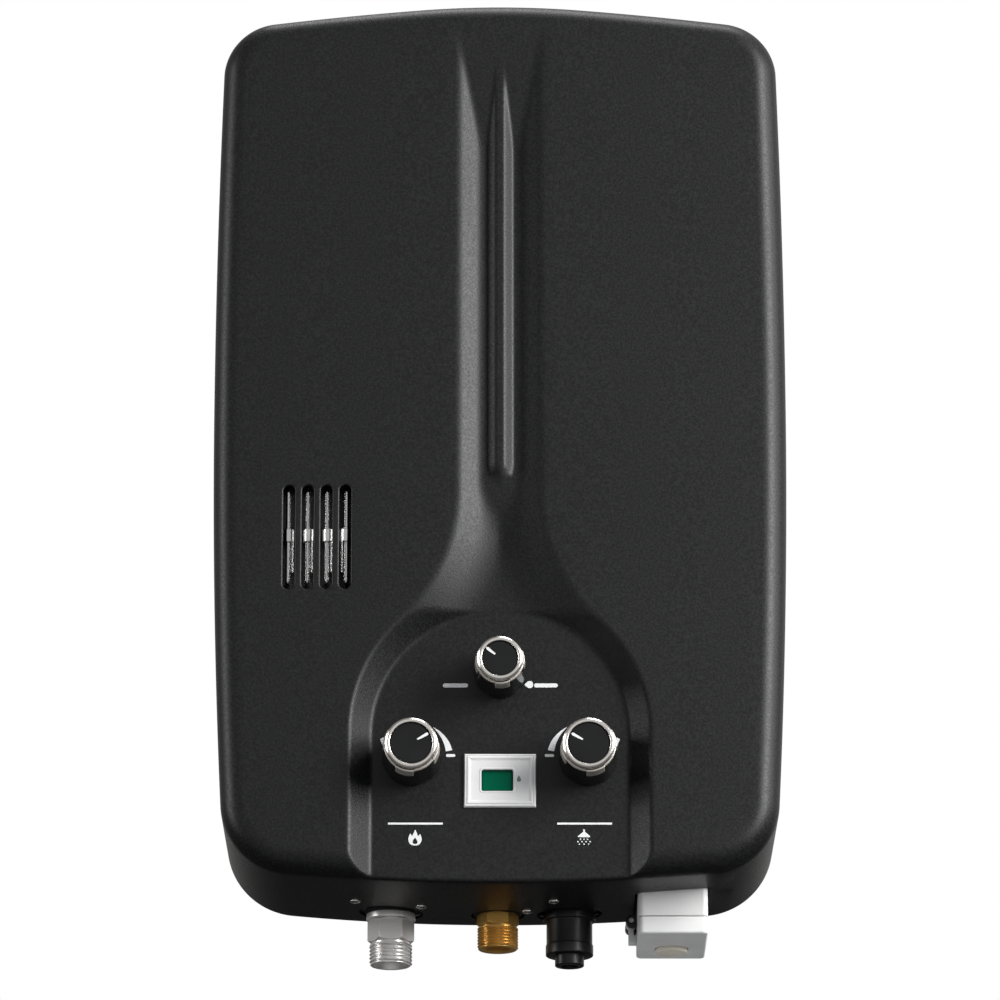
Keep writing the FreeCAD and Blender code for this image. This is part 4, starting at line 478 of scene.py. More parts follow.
COVER_LOW, COVER_HIGH = span("front_cover")
HALF_WIDTH = COVER_HIGH.x
TOP_Z = COVER_HIGH.z
BOTTOM_Z = COVER_LOW.z
DEPTH = -COVER_LOW.y
BACK_Y = COVER_HIGH.y
WAIST_Z = 15.0
SIDE_UPPER_R = 5600.0
SIDE_LOWER_R = 3600.0
CROWN_R = 520.0
CROWN_HALF = 40.0
FLANK_R = 2200.0
TOP_CORNER_R = 28.0
BOTTOM_CORNER_R = 36.0
BOTTOM_R = 1100.0
FACE_R = 3000.0
EDGE_R = 12.0
SHEET = 1.2


def circle_meet(c1, r1, c2, r2, near):
    """Where two circles cross, at the crossing nearer to a point."""
    way = c2 - c1
    d = np.linalg.norm(way)
    along = (r1 * r1 - r2 * r2 + d * d) / (2 * d)
    across = math.sqrt(r1 * r1 - along * along)
    unit = way / d
    side = np.array((-unit[1], unit[0]))
    options = [c1 + unit * along + side * across, c1 + unit * along - side * across]
    return min(options, key=lambda p: np.linalg.norm(p - near))


def outline_arcs():
    """(centre, radius, start angle, end angle) of the right-hand half, from bottom centre to top centre."""
    bottom = np.array((0, BOTTOM_Z + BOTTOM_R))
    lower = np.array((HALF_WIDTH - SIDE_LOWER_R, WAIST_Z))
    upper = np.array((HALF_WIDTH - SIDE_UPPER_R, WAIST_Z))
    crown = np.array((0, TOP_Z - CROWN_R))
    lean = math.asin(CROWN_HALF / CROWN_R)
    flank = crown + np.array((math.sin(lean), math.cos(lean))) * (CROWN_R - FLANK_R)
    low_corner = circle_meet(bottom, BOTTOM_R - BOTTOM_CORNER_R, lower, SIDE_LOWER_R - BOTTOM_CORNER_R,
                             np.array((HALF_WIDTH, BOTTOM_Z)))
    top_corner = circle_meet(upper, SIDE_UPPER_R - TOP_CORNER_R, flank, FLANK_R - TOP_CORNER_R,
                             np.array((HALF_WIDTH, TOP_Z)))
    arcs = [(bottom, BOTTOM_R), (low_corner, BOTTOM_CORNER_R), (lower, SIDE_LOWER_R),
            (upper, SIDE_UPPER_R), (top_corner, TOP_CORNER_R), (flank, FLANK_R), (crown, CROWN_R)]
    turns = [-math.pi / 2]
    for (c1, r1), (c2, r2) in zip(arcs, arcs[1:]):
        way = (c2 - c1) if r1 > r2 else (c1 - c2)
        turns.append(math.atan2(way[1], way[0]))
    turns.append(math.pi / 2)
    return [(c, r, a, b) for (c, r), a, b in zip(arcs, turns, turns[1:])]


ARCS = outline_arcs()
ARC_ENDS = np.cumsum([0] + [r * (b - a) for _, r, a, b in ARCS])
HALF_GIRTH = ARC_ENDS[-1]


def outline_at(u, inset=0.0):
    """Point of the outline at a distance u from the bottom centre, to the right where u is positive."""
    u = (u + HALF_GIRTH) % (2 * HALF_GIRTH) - HALF_GIRTH
    k = min(int(np.searchsorted(ARC_ENDS, abs(u), side="right")) - 1, len(ARCS) - 1)
    centre, radius, start, _ = ARCS[k]
    angle = start + (abs(u) - ARC_ENDS[k]) / radius
    x = centre[0] + (radius - inset) * math.cos(angle)
    return math.copysign(1, u) * x, centre[1] + (radius - inset) * math.sin(angle)


def face_y(x):
    """Front's gentle curve from side to side."""
    return -DEPTH + FACE_R - np.sqrt(FACE_R ** 2 - x ** 2)


# ---------------------------------------------------------------- drawn shape of the front

CHANNEL_HALF = 20.4
CHANNEL_WALL = 11.0
CHANNEL_DEPTH = 5.0
NECK_R = 90.0
FADE_START_Z = TOP_Z - 74.0
FADE_LENGTH = 55.0
ARCH_Z = BOTTOM_Z + 73.0
ARCH_R = 73.5
ARCH_WALL = 11.5
PANEL_DEPTH = 9.5
PANEL_Y = PANEL_DEPTH - DEPTH
RIB_HALF = 6.5
RIB_CREST_HALF = 2.0
RIB_HEIGHT = 3.4
RIB_END_Z = ARCH_Z + 127.0
VALLEY_LENGTH = 34.0      # below the rib's end, until the channel is as deep as the panel
VALLEY_HALF = PANEL_DEPTH * CHANNEL_WALL / CHANNEL_DEPTH      # its walls keep the channel's slope
PANEL_EDGE_R = 2.2
WALL_EASE = 0.22          # rounding at the foot of the channel's walls, as a share of their height
VALLEY_EASE = 0.3         # what is added to it in the valley
CREST_EASE = 0.6          # the other roundings are in millimetres of depth
RIB_EASE = 0.5
FLARE_EASE = 0.8
PANEL_EASE = 1.0
FRONT_EASE = 1.1
OUTSIDE = -50.0           # depth that stands for no recess
LEAN = math.asin((CHANNEL_HALF + NECK_R) / (ARCH_R + NECK_R))
NECK_Z = ARCH_Z + (ARCH_R + NECK_R) * math.cos(LEAN)
NECK_X = CHANNEL_HALF + NECK_R


def soft_min(a, b, ease):
    """Lesser of two values, with the corner where they cross rounded."""
    h = np.clip(1 - np.abs(a - b) / ease, 0, 1)
    return np.minimum(a, b) - h * h * ease / 4


def soft_max(a, b, ease):
    return -soft_min(-a, -b, ease)


def smooth_step(t):
    t = np.clip(t, 0, 1)
    return t * t * (3 - 2 * t)


def flume_inside(x, z):
    """Distance inside the outline of channel and flares; negative outside."""
    x = np.abs(x)
    channel = CHANNEL_HALF - x
    neck = np.hypot(NECK_X - x, z - NECK_Z) - NECK_R
    return np.where(z >= NECK_Z, channel, neck)


def arch_inside(x, z):
    return ARCH_R - np.where(z >= ARCH_Z, np.hypot(x, z - ARCH_Z), np.abs(x))


def beyond_meet(x, z):
    """True on the arch's side of the line on which flare and arch are tangent."""
    return np.abs(x) * math.cos(LEAN) > (z - ARCH_Z) * math.sin(LEAN)


def recess_depth(x, z):
    """Depth of the drawn shape behind the front's foremost plane; negative outside it."""
    fall = smooth_step((RIB_END_Z - z) / VALLEY_LENGTH)
    depth = CHANNEL_DEPTH + (PANEL_DEPTH - CHANNEL_DEPTH) * fall
    wall = CHANNEL_WALL + (VALLEY_HALF - CHANNEL_WALL) * fall
    share = flume_inside(x, z) / wall
    flume = depth * soft_min(share, np.ones_like(share), WALL_EASE + VALLEY_EASE * fall)
    flume = np.where(beyond_meet(x, z), OUTSIDE, flume)
    reach = np.where(z > RIB_END_Z + RIB_HALF, np.abs(x), np.hypot(x, z - RIB_END_Z - RIB_HALF))
    rib = CHANNEL_DEPTH - RIB_HEIGHT + RIB_HEIGHT * (reach - RIB_CREST_HALF) / (RIB_HALF - RIB_CREST_HALF)
    crest = np.full_like(rib, CHANNEL_DEPTH - RIB_HEIGHT)
    flume = soft_min(flume, soft_max(rib, crest, CREST_EASE), RIB_EASE)
    fade = CHANNEL_DEPTH - (z - FADE_START_Z) * CHANNEL_DEPTH / FADE_LENGTH
    flume = soft_min(flume, fade, FLARE_EASE)
    arch = PANEL_DEPTH * arch_inside(x, z) / ARCH_WALL
    return soft_min(soft_max(flume, arch, FLARE_EASE), np.full_like(arch, PANEL_DEPTH), PANEL_EASE)


def front_y(x, z, inset):
    """Depth of the painted front at a point, at a distance inset from the outline."""
    near = np.clip(inset, 0, EDGE_R)
    skin = face_y(x) + EDGE_R - np.sqrt(EDGE_R ** 2 - (EDGE_R - near) ** 2)
    low = np.clip(inset, 0, PANEL_EDGE_R)
    rounding = PANEL_EDGE_R - np.sqrt(PANEL_EDGE_R ** 2 - (PANEL_EDGE_R - low) ** 2)
    recess = -DEPTH + recess_depth(x, z) + rounding
    return soft_max(skin, recess, FRONT_EASE)


# ---------------------------------------------------------------- front cover

SLOT_COUNT = 4
SLOT_PITCH = 9.1
SLOT_WIDTH = 5.6
SLOT_HEIGHT = 52.5
SLOT_X = -88.7
SLOT_Z = BOTTOM_Z + 170.0
SLOT_ROLL = 0.9           # radius that the slots' rims are turned in with
SPINDLE_HOLE_R = 5.0
DISPLAY_CUT = (29.0, 20.6)
PORTS = {"hot_water_outlet": 15.7, "gas_inlet": 13.0, "water_inlet": 15.9}
SCREW_HOLE_R = 1.9
BOX_GAP = 1.5
BOX_CORNER_R = 2.8
FLUE_HALF = 56.0
FLUE_Y = (-72.0, -24.0)
FRONT_Y = -0.08           # metres; what lies before it is the cover's front
COVER_SHARP = 42          # degrees
EDGE_ROWS = 14            # steps of the mesh round the front's edge
CORNER_STEP = 1.5         # its spacing round the outline's corners
CORNER_MOST = 50.0        # arcs of a lesser radius are corners
SIDE_STEP = 4.0           # its spacing along the sides
WALL_STEP = 0.6           # at the panel's walls
DRAWN_STEP = 0.7          # across the walls of the drawn shape
MEET_STEP = 1.4           # where channel and arch meet
WIDE_STEP = 6.5           # elsewhere on the front
RIM_RINGS = (0.12, 0.35, 0.7, 1.1)      # distances of its rings round a slot
SIDE_DEPTHS = (-84.0, -70.0, -45.0, -20.0, -6.0)


def middle(node):
    low, high = span(node)
    return (low + high) / 2


def stadium(x, z, half_width, half_height, steps=12):
    """Upright slot's outline."""
    turns = [math.pi * k / steps for k in range(steps + 1)]
    rise = half_height - half_width
    top = [(x + half_width * math.cos(t), z + rise + half_width * math.sin(t)) for t in turns]
    rungs = int(2 * rise / 4.0)
    left = [(x - half_width, z + rise - 2 * rise * k / rungs) for k in range(1, rungs)]
    low = [(2 * x - a, 2 * z - b) for a, b in top]
    return top + left + low + [(2 * x - a, 2 * z - b) for a, b in left]


def circle(x, z, radius, steps=40):
    return [(x + radius * math.cos(2 * math.pi * k / steps), z + radius * math.sin(2 * math.pi * k / steps))
            for k in range(steps)]


def rectangle(x0, x1, z0, z1, corner=0.0, steps=5):
    if not corner:
        return [(x0, z0), (x1, z0), (x1, z1), (x0, z1)]
    path = []
    for cx, cz, start in ((x1 - corner, z1 - corner, 0), (x0 + corner, z1 - corner, 1),
                          (x0 + corner, z0 + corner, 2), (x1 - corner, z0 + corner, 3)):
        for k in range(steps + 1):
            turn = math.pi / 2 * (start + k / steps)
            path.append((cx + corner * math.cos(turn), cz + corner * math.sin(turn)))
    return path


def gaps(points, others):
    """Distance from each point to the nearest of the others."""
    points, others = np.asarray(points, float), np.asarray(others, float)
    best = np.full(len(points), np.inf)
    for k in range(0, len(others), 400):
        part = others[k:k + 400]
        away = np.hypot(points[:, :1] - part[None, :, 0], points[:, 1:] - part[None, :, 1])
        best = np.minimum(best, away.min(1))
    return best


def within(points, loop):
    """True for each point inside a closed loop."""
    points, loop = np.asarray(points, float), np.asarray(loop, float)
    after = np.roll(loop, -1, axis=0)
    x, z = points[:, 0], points[:, 1]
    inside = np.zeros(len(points), bool)
    for (x0, z0), (x1, z1) in zip(loop, after):
        if z0 != z1:
            crossing = (z0 > z) != (z1 > z)
            inside ^= crossing & (x < (x1 - x0) * (z - z0) / (z1 - z0) + x0)
    return inside


def sheet(border, holes, loose, room):
    """Triangles over a region with holes; loose points nearer than room to an edge are left out."""
    loops = [border] + holes
    corners = np.array([p for loop in loops for p in loop])
    loose = np.asarray(loose, float)
    keep = within(loose, border) & (gaps(loose, corners) > room)
    for hole in holes:
        keep &= ~within(loose, hole)
    edges, start = [], 0
    for loop in loops:
        edges += [(start + k, start + (k + 1) % len(loop)) for k in range(len(loop))]
        start += len(loop)
    points = [Vector(p) for p in np.vstack([corners, loose[keep]]).tolist()]
    spots, _, triangles, _, _, _ = delaunay_2d_cdt(points, edges, [], 0, 1e-6)
    spots = np.array([(p.x, p.y) for p in spots])
    triangles = np.array([tuple(t) for t in triangles])
    centres = spots[triangles].mean(1)
    keep = within(centres, border)
    for hole in holes:
        keep &= ~within(centres, hole)
    return spots, triangles[keep]


def outline_marks():
    """Distances along the outline with a point in each ring: close at corners and at the panel's walls."""
    marks = []
    for (_, radius, _, _), low, high in zip(ARCS, ARC_ENDS, ARC_ENDS[1:]):
        count = max(2, round((high - low) / (CORNER_STEP if radius < CORNER_MOST else SIDE_STEP)))
        marks += list(np.linspace(low, high, count, endpoint=False))
    fine = np.arange(ARCH_R - ARCH_WALL - 4, ARCH_R + 4, WALL_STEP)
    marks = [u for u in marks if np.abs(fine - u).min() > 0.8] + list(fine)
    half = sorted(marks) + [HALF_GIRTH]
    return [-u for u in reversed(half[1:-1])] + half


def shape_points():
    """Points that follow the drawn shape: close across its walls, wider along them."""
    across = np.arange(-2.1, 14.5, DRAWN_STEP)
    points = [(x, z) for z in np.arange(NECK_Z, FADE_START_Z + FADE_LENGTH + 8, 3.5)
              for x in np.arange(-22.4, 22.5, DRAWN_STEP)]
    for side in (-1, 1):
        for turn in np.arange(math.pi, 1.5 * math.pi - LEAN, 0.026):
            for s in across:
                x = NECK_X + (NECK_R + s) * math.cos(turn)
                z = NECK_Z + (NECK_R + s) * math.sin(turn)
                if arch_inside(x, z) < -2.6:
                    points.append((side * x, z))
        for turn in np.arange(0, math.pi / 2, 0.03):
            for s in across:
                points.append((side * (ARCH_R - s) * math.cos(turn), ARCH_Z + (ARCH_R - s) * math.sin(turn)))
        points += [(side * (ARCH_R - s), z) for s in across for z in np.arange(BOTTOM_Z + 12, ARCH_Z, 2.5)]
    for x in np.arange(-36, 36.1, MEET_STEP):
        for z in np.arange(ARCH_Z + ARCH_R + 2, NECK_Z, MEET_STEP):
            if flume_inside(x, z) > 14.6:
                points.append((x, z))
    return points


def slot_centres():
    return [SLOT_X + (k - (SLOT_COUNT - 1) / 2) * SLOT_PITCH for k in range(SLOT_COUNT)]


def rolled_in(x, z):
    """How far the sheet is turned in at the slots' rims."""
    drop = np.zeros_like(x)
    for centre in slot_centres():
        rise = (SLOT_HEIGHT - SLOT_WIDTH) / 2
        away = np.hypot(x - centre, z - np.clip(z, SLOT_Z - rise, SLOT_Z + rise)) - SLOT_WIDTH / 2
        near = np.clip(SLOT_ROLL - away, 0, SLOT_ROLL)
        drop += SLOT_ROLL - np.sqrt(SLOT_ROLL ** 2 - near ** 2)
    return drop


def front_sheet(border):
    display = middle("display_bezel")
    holes = [stadium(x, SLOT_Z, SLOT_WIDTH / 2, SLOT_HEIGHT / 2) for x in slot_centres()]
    rims = [p for x in slot_centres() for grow in RIM_RINGS
            for p in stadium(x, SLOT_Z, SLOT_WIDTH / 2 + grow, SLOT_HEIGHT / 2 + grow)]
    for knob in ("gas", "water", "season"):
        centre = middle(knob + "_spindle")
        holes.append(circle(centre.x, centre.z, SPINDLE_HOLE_R))
    w, h = DISPLAY_CUT
    holes.append(rectangle(-w / 2, w / 2, display.z - h / 2, display.z + h / 2))
    fine = np.array(shape_points() + rims)
    wide = np.array([(x, z) for x in np.arange(-HALF_WIDTH, HALF_WIDTH, WIDE_STEP)
                     for z in np.arange(BOTTOM_Z, TOP_Z, WIDE_STEP)])
    wide = wide[gaps(wide, fine) > 4.0]
    return sheet(border, holes, np.vstack([fine, wide]), 0.1)


def side_sheet(marks, front):
    """Wrapped side of the cover, laid flat as distance along the outline and depth."""
    seam = min(marks, key=lambda u: abs(u - ARC_ENDS[3]))
    order = sorted((u if u <= seam else u - 2 * HALF_GIRTH, y) for u, y in zip(marks, front))
    order.insert(0, (seam - 2 * HALF_GIRTH, order[-1][1]))
    border = order + [(u, BACK_Y) for u, _ in reversed(order)]
    along = np.linspace(0, HALF_GIRTH, 6000)
    across = np.array([outline_at(u)[0] for u in along])
    widest = int(across.argmax())

    def under(x):
        return float(math.copysign(np.interp(abs(x), across[:widest], along[:widest]), x))

    def over(x):
        low = float(np.interp(abs(x), across[widest:][::-1], along[widest:][::-1]))
        return low - 2 * HALF_GIRTH if x > 0 else -low

    holes = []
    for port, radius in PORTS.items():
        centre = middle(port)
        holes.append([(under(x), y) for x, y in circle(centre.x, centre.y, radius, 56)])
    for centre in screw_centres():
        holes.append([(under(x), y) for x, y in circle(*centre, SCREW_HOLE_R, 16)])
    low, high = span("battery_box")
    holes.append([(under(x), y) for x, y in rectangle(low.x - BOX_GAP, high.x + BOX_GAP, low.y - BOX_GAP,
                                                      BATTERY_REAR_Y + BOX_GAP, BOX_CORNER_R + BOX_GAP)])
    steps = np.linspace(-FLUE_HALF, FLUE_HALF, 29)
    holes.append([(over(x), FLUE_Y[0]) for x in steps] + [(over(x), FLUE_Y[1]) for x in steps[::-1]])
    loose = [(u, y) for u, _ in order[1:-1] for y in SIDE_DEPTHS]
    return sheet(border, holes, loose, 0.9)


def island_boxes(node):
    """(lowest, highest) corner of each separate solid of a node, in millimetres."""
    made = node_mesh(node)
    left, boxes = set(made.verts), []
    while left:
        crowd, queue = [], [left.pop()]
        while queue:
            spot = queue.pop()
            crowd.append(spot.co / MM)
            for edge in spot.link_edges:
                other = edge.other_vert(spot)
                if other in left:
                    left.remove(other)
                    queue.append(other)
        boxes.append((Vector([min(p[k] for p in crowd) for k in range(3)]),
                      Vector([max(p[k] for p in crowd) for k in range(3)])))
    made.free()
    return sorted(boxes, key=lambda b: b[0].x)


def screw_centres():
    return [((low.x + high.x) / 2, (low.y + high.y) / 2) for low, high in island_boxes("cover_screws")]


BATTERY_REAR_Y = span("battery_lid")[1].y


def front_cover():
    marks = outline_marks()
    rings = []
    for k in range(EDGE_ROWS + 1):
        inset = EDGE_R * (1 - math.cos(math.pi / 2 * k / EDGE_ROWS))
        spots = np.array([outline_at(u, inset) for u in marks])
        rings.append(np.column_stack([spots[:, 0], front_y(spots[:, 0], spots[:, 1], inset), spots[:, 1]]))
    points = np.vstack(rings)
    faces = grid_faces(len(rings), len(marks))
    spots, triangles = front_sheet(rings[-1][:, [0, 2]].tolist())
    depth = front_y(spots[:, 0], spots[:, 1], EDGE_R) + rolled_in(spots[:, 0], spots[:, 1])
    faces += (triangles + len(points)).tolist()
    points = np.vstack([points, np.column_stack([spots[:, 0], depth, spots[:, 1]])])
    spots, triangles = side_sheet(marks, rings[0][:, 1])
    ends = np.array([outline_at(u) for u in spots[:, 0]])
    faces += (triangles + len(points)).tolist()
    points = np.vstack([points, np.column_stack([ends[:, 0], spots[:, 1], ends[:, 1]])])
    thicken(stand_in("front_cover_painted", (points.tolist(), faces), "front_cover", COVER_SHARP), SHEET)


def thicken(shell, thick_mm):
    """Gives an open sheet its thickness, inwards."""
    if sum(p.normal.y * p.area for p in shell.data.polygons if p.center.y < FRONT_Y) > 0:
        shell.data.flip_normals()
    solid = shell.modifiers.new("sheet", "SOLIDIFY")
    solid.thickness = thick_mm * MM
    solid.offset = -1.0
    bpy.context.view_layer.update()
    shaped = bpy.data.meshes.new_from_object(shell.evaluated_get(bpy.context.evaluated_depsgraph_get()))
    shell.modifiers.clear()
    shell.data = shaped
    shaped.set_sharp_from_angle(angle=math.radians(COVER_SHARP))


# ---------------------------------------------------------------- knobs

KNOB_LENGTH = 29.0        # all distances along a knob are from the panel
KNOB_GAP = 0.4
KNOB_CORNER = 1.06        # facet corners beyond the round cone that trims them
FACET_REACH = 1.2         # radians from a facet's middle within which it counts
FACET_FAR = 40.0          # keeps it clear of the cone beyond that
FACET_EASE = 0.22
POINTER_SPAN = (0.27, 0.755)      # the pointer's ends, as shares of the ring's radius
RING_BACK = KNOB_LENGTH - 2.4
NECK_BACK = RING_BACK - 1.7
COLLAR_BACK = NECK_BACK - 1.8
RING_WIDTH = 2.4
RING_GROOVE = 0.9
COLLAR_PROUD = 0.5
LUG_COUNT = 4
LUG_TURN = 45.0
LUG_LENGTH = 6.0
LUG_PROUD = 0.35
LUG_ROOT = 1.8
CAP_RECESS = 0.8
CAP_THICK = 3.0
PRINT_THICK = 0.06
TURNS = np.linspace(0, 2 * math.pi, 144, endpoint=False)
SIDE_KNOB = {"base_r": 14.2, "ring_r": 12.5, "lug": 9.2}
SEASON_KNOB = {"base_r": 12.6, "ring_r": 11.0, "lug": 7.2}
KNOBS = {"gas": dict(SIDE_KNOB, pointer=30.0), "water": dict(SIDE_KNOB, pointer=150.0),
         "season": dict(SEASON_KNOB, pointer=141.0)}


def turned_field(rows, place):
    """Surface about an axis from (height, radius) rows, where a radius may differ round the row."""
    points = []
    for height, radii in rows:
        radii = np.broadcast_to(radii, TURNS.shape)
        points += [place(r, t, height) for r, t in zip(radii, TURNS)]
    return points, grid_faces(len(rows), len(TURNS))


def knob_place(name):
    centre = middle(name + "_spindle")
    return lambda r, t, a: (centre.x + r * math.cos(t), PANEL_Y - a, centre.z + r * math.sin(t))


def facetted(cone, lug, half):
    """Radii of the knob's body: a flat under each lug and one between each two, trimmed by the cone."""
    radii = np.full(TURNS.shape, cone)
    for k in range(LUG_COUNT):
        for centre, reach in ((lug, half), (lug + math.pi / LUG_COUNT, math.pi / LUG_COUNT - half)):
            turn = (TURNS - centre - 2 * math.pi / LUG_COUNT * k + math.pi) % (2 * math.pi) - math.pi
            near = np.clip(turn, -FACET_REACH, FACET_REACH)
            flat = cone * KNOB_CORNER * math.cos(reach) / np.cos(near)
            radii = soft_min(radii, flat + FACET_FAR * (np.abs(turn) > FACET_REACH), FACET_EASE)
    return radii


def knob_body(name, knob):
    collar_r = knob["ring_r"] + COLLAR_PROUD
    lug = math.radians(knob["pointer"] + LUG_TURN)
    half = math.asin(knob["lug"] / 2 / collar_r)
    slope = (collar_r - knob["base_r"]) / (COLLAR_BACK - KNOB_GAP)
    rows = [(KNOB_GAP, 0.0)]
    foot = [(0.0, 0.7), (0.12, 0.35), (0.35, 0.1), (0.7, 0.0)]
    heights = foot + [(a, 0.0) for a in np.linspace(2.0, COLLAR_BACK - KNOB_GAP, 9)]
    for rise, drop in heights:
        rows.append((KNOB_GAP + rise, facetted(knob["base_r"] + slope * rise, lug, half) - drop))
    rows.append((COLLAR_BACK, 0.0))
    stand_in(name + "_knob_body", turned_field(rows, knob_place(name)), name + "_knob", 50)


def knob_trim(name, knob):
    ring_r = knob["ring_r"]
    inner, groove, collar_r = ring_r - RING_WIDTH, ring_r - RING_GROOVE, ring_r + COLLAR_PROUD
    ring = eased([(inner, NECK_BACK, 0), (groove, NECK_BACK, 0), (groove, RING_BACK, 0.15),
                  (ring_r, RING_BACK, 0.5), (ring_r, KNOB_LENGTH - 0.75, 0.3),
                  (ring_r - 0.85, KNOB_LENGTH - 0.12, 0.12), (ring_r - 1.0, KNOB_LENGTH, 0.1),
                  (inner + 0.35, KNOB_LENGTH, 0.3), (inner, KNOB_LENGTH - 0.4, 0.3), (inner, NECK_BACK, 0)])
    trim = name + "_knob_trim"
    stand_in(name + "_knob_chrome", turned_field(ring, knob_place(name)), trim, 40)
    collar = eased([(inner, COLLAR_BACK, 0), (collar_r, COLLAR_BACK, 0.2), (collar_r, NECK_BACK, 0.5),
                    (inner, NECK_BACK, 0), (inner, COLLAR_BACK, 0)])
    shapes = [turned_field(collar, knob_place(name))]
    for k in range(LUG_COUNT):
        angle = math.radians(knob["pointer"] + LUG_TURN + 360 / LUG_COUNT * k)
        shapes.append(knob_lug(name, knob, angle))
    piece(name + "_knob_collar", *joined(shapes), trim, finish="satin_chrome", sharp=40)


def knob_lug(name, knob, angle):
    """Tab of the collar that laps over the body: skin, rounded rim, side walls and a hidden foot."""
    centre = middle(name + "_spindle")
    collar_r = knob["ring_r"] + COLLAR_PROUD
    slope = (knob["base_r"] - collar_r) / (COLLAR_BACK - KNOB_GAP)
    rim = [(0.0, LUG_ROOT), (0.0, 0.45), (0.1, 0.15), (0.4, 0.0)]
    half = knob["lug"] / 2
    inner = [(c, 0.0) for c in np.linspace(-half + 1.0, half - 1.0, 9)]
    across = [(c - half, d) for c, d in rim] + inner + [(half - c, d) for c, d in reversed(rim)]
    low, high = COLLAR_BACK - LUG_LENGTH, NECK_BACK
    inner = [(a, 0.0) for a in np.linspace(low + 1.0, high - 1.0, 5)]
    along = [(low + a, d) for a, d in rim] + inner + [(high - a, d) for a, d in reversed(rim)]
    points = []
    for a, fall in along:
        radius = collar_r + slope * max(0.0, COLLAR_BACK - a) + LUG_PROUD
        for c, drop in across:
            r = radius - min(LUG_ROOT, math.hypot(fall, drop))
            x, z = turned(centre.x, centre.z, math.sqrt(r * r - c * c), c, angle)
            points.append((x, PANEL_Y - a, z))
    wide, tall = len(across), len(along)
    border = list(range(wide)) + [r * wide + wide - 1 for r in range(1, tall)]
    border += [(tall - 1) * wide + c for c in range(wide - 2, -1, -1)]
    border += [r * wide for r in range(tall - 2, 0, -1)]
    return points, grid_faces(tall, wide, closed=False) + [tuple(border)]


def knob_cap(name, knob):
    face, edge = KNOB_LENGTH - CAP_RECESS, knob["ring_r"] - RING_WIDTH - 0.14
    profile = eased([(0.0, face - CAP_THICK, 0), (edge, face - CAP_THICK, 0.1), (edge, face - 0.15, 0.35),
                     (edge - 0.75, face, 0.3), (0.0, face, 0)])
    stand_in(name + "_knob_disc", turned_field(profile, knob_place(name)), name + "_knob_cap", 50)


def knob_pointer(name, knob):
    """White tapered mark on the disc, with round ends."""
    centre = middle(name + "_spindle")
    angle = math.radians(knob["pointer"])
    inner, outer = (share * knob["ring_r"] for share in POINTER_SPAN)
    border = []
    for s, half, start in ((outer - 0.7, 0.72, -90), (inner + 0.4, 0.42, 90)):
        border += [turned(centre.x, centre.z, *spot, angle) for spot in arc(s, 0.0, half, start, 22.5, 9)]
    face = PANEL_Y - KNOB_LENGTH + CAP_RECESS
    flat_print(name + "_knob_pointer", [(border, [])], face, name + "_knob_cap")


# ---------------------------------------------------------------- prints

def plate(border, holes, y_front, y_back):
    """Closed flat piece between two depths, from loops of (x, z)."""
    spots, triangles = sheet(border, holes, np.empty((0, 2)), 0.1)
    points, faces = [], []
    for y in (y_front, y_back):
        faces += (triangles + len(points)).tolist()
        points += [(x, y, z) for x, z in spots]
    for loop in [border] + holes:
        start, count = len(points), len(loop)
        points += [(x, y, z) for y in (y_front, y_back) for x, z in loop]
        faces += [(start + k, start + (k + 1) % count, start + count + (k + 1) % count, start + count + k)
                  for k in range(count)]
    return points, faces


def flat_print(name, shapes, y, like, finish="print_white", thick=PRINT_THICK):
    """Thin marks on a flat face, from (border, holes) outlines."""
    marks = joined(plate(border, holes, y - thick, y + thick) for border, holes in shapes)
    piece(name, *marks, like, finish=finish, sharp=30)


def bar(x0, x1, z, thick):
    """Level bar with round ends."""
    r = thick / 2
    return arc(x1 - r, z, r, -90, 30, 7) + arc(x0 + r, z, r, 90, 30, 7)


DROP_STEPS = 32
DROP_BELLY = 0.62         # how full a drop is for its width


def drop(x, z, width, height, turn=0.0, sharpness=1.3):
    """Teardrop with its point up, turned by an angle in degrees."""
    path = []
    for k in range(DROP_STEPS):
        t = 2 * math.pi * k / DROP_STEPS
        side = width * DROP_BELLY * math.sin(t) * abs(math.sin(t / 2)) ** sharpness
        path.append(turned(x, z, side, height / 2 * math.cos(t), math.radians(turn)))
    return path


def rounded(points, rounds=2):
    """Closed outline with its corners cut, each round halving what is left of them."""
    for _ in range(rounds):
        cut = []
        for (x0, z0), (x1, z1) in zip(points, points[1:] + points[:1]):
            for near, far in ((0.75, 0.25), (0.25, 0.75)):
                cut.append((near * x0 + far * x1, near * z0 + far * z1))
        points = cut
    return points


def flame(x, z, size):
    """Flame with a tongue at each side of its tall middle one."""
    left = [(0.0, -0.52), (-0.3, -0.46), (-0.44, -0.2), (-0.42, 0.06), (-0.3, 0.34), (-0.2, 0.1)]
    right = [(-0.1, 0.26), (0.02, 0.62), (0.13, 0.24), (0.21, 0.08), (0.33, 0.3), (0.43, 0.02), (0.43, -0.22),
             (0.28, -0.47)]
    return rounded([(x + size * a, z + size * b) for a, b in left + right])


def crescent(x, z, radius, width, start, end, mirror):
    """Arc that narrows from its width at the start to a tip at the end, in degrees."""
    steps = 20
    outer, inner = [], []
    for k in range(steps + 1):
        turn = math.radians(start + (end - start) * k / steps)
        half = width / 2 * (1 - (k / steps) ** 1.4) + 0.08
        outer.append((x + mirror * (radius + half) * math.cos(turn), z + (radius + half) * math.sin(turn)))
        inner.append((x + mirror * (radius - half) * math.cos(turn), z + (radius - half) * math.sin(turn)))
    return outer + inner[::-1]


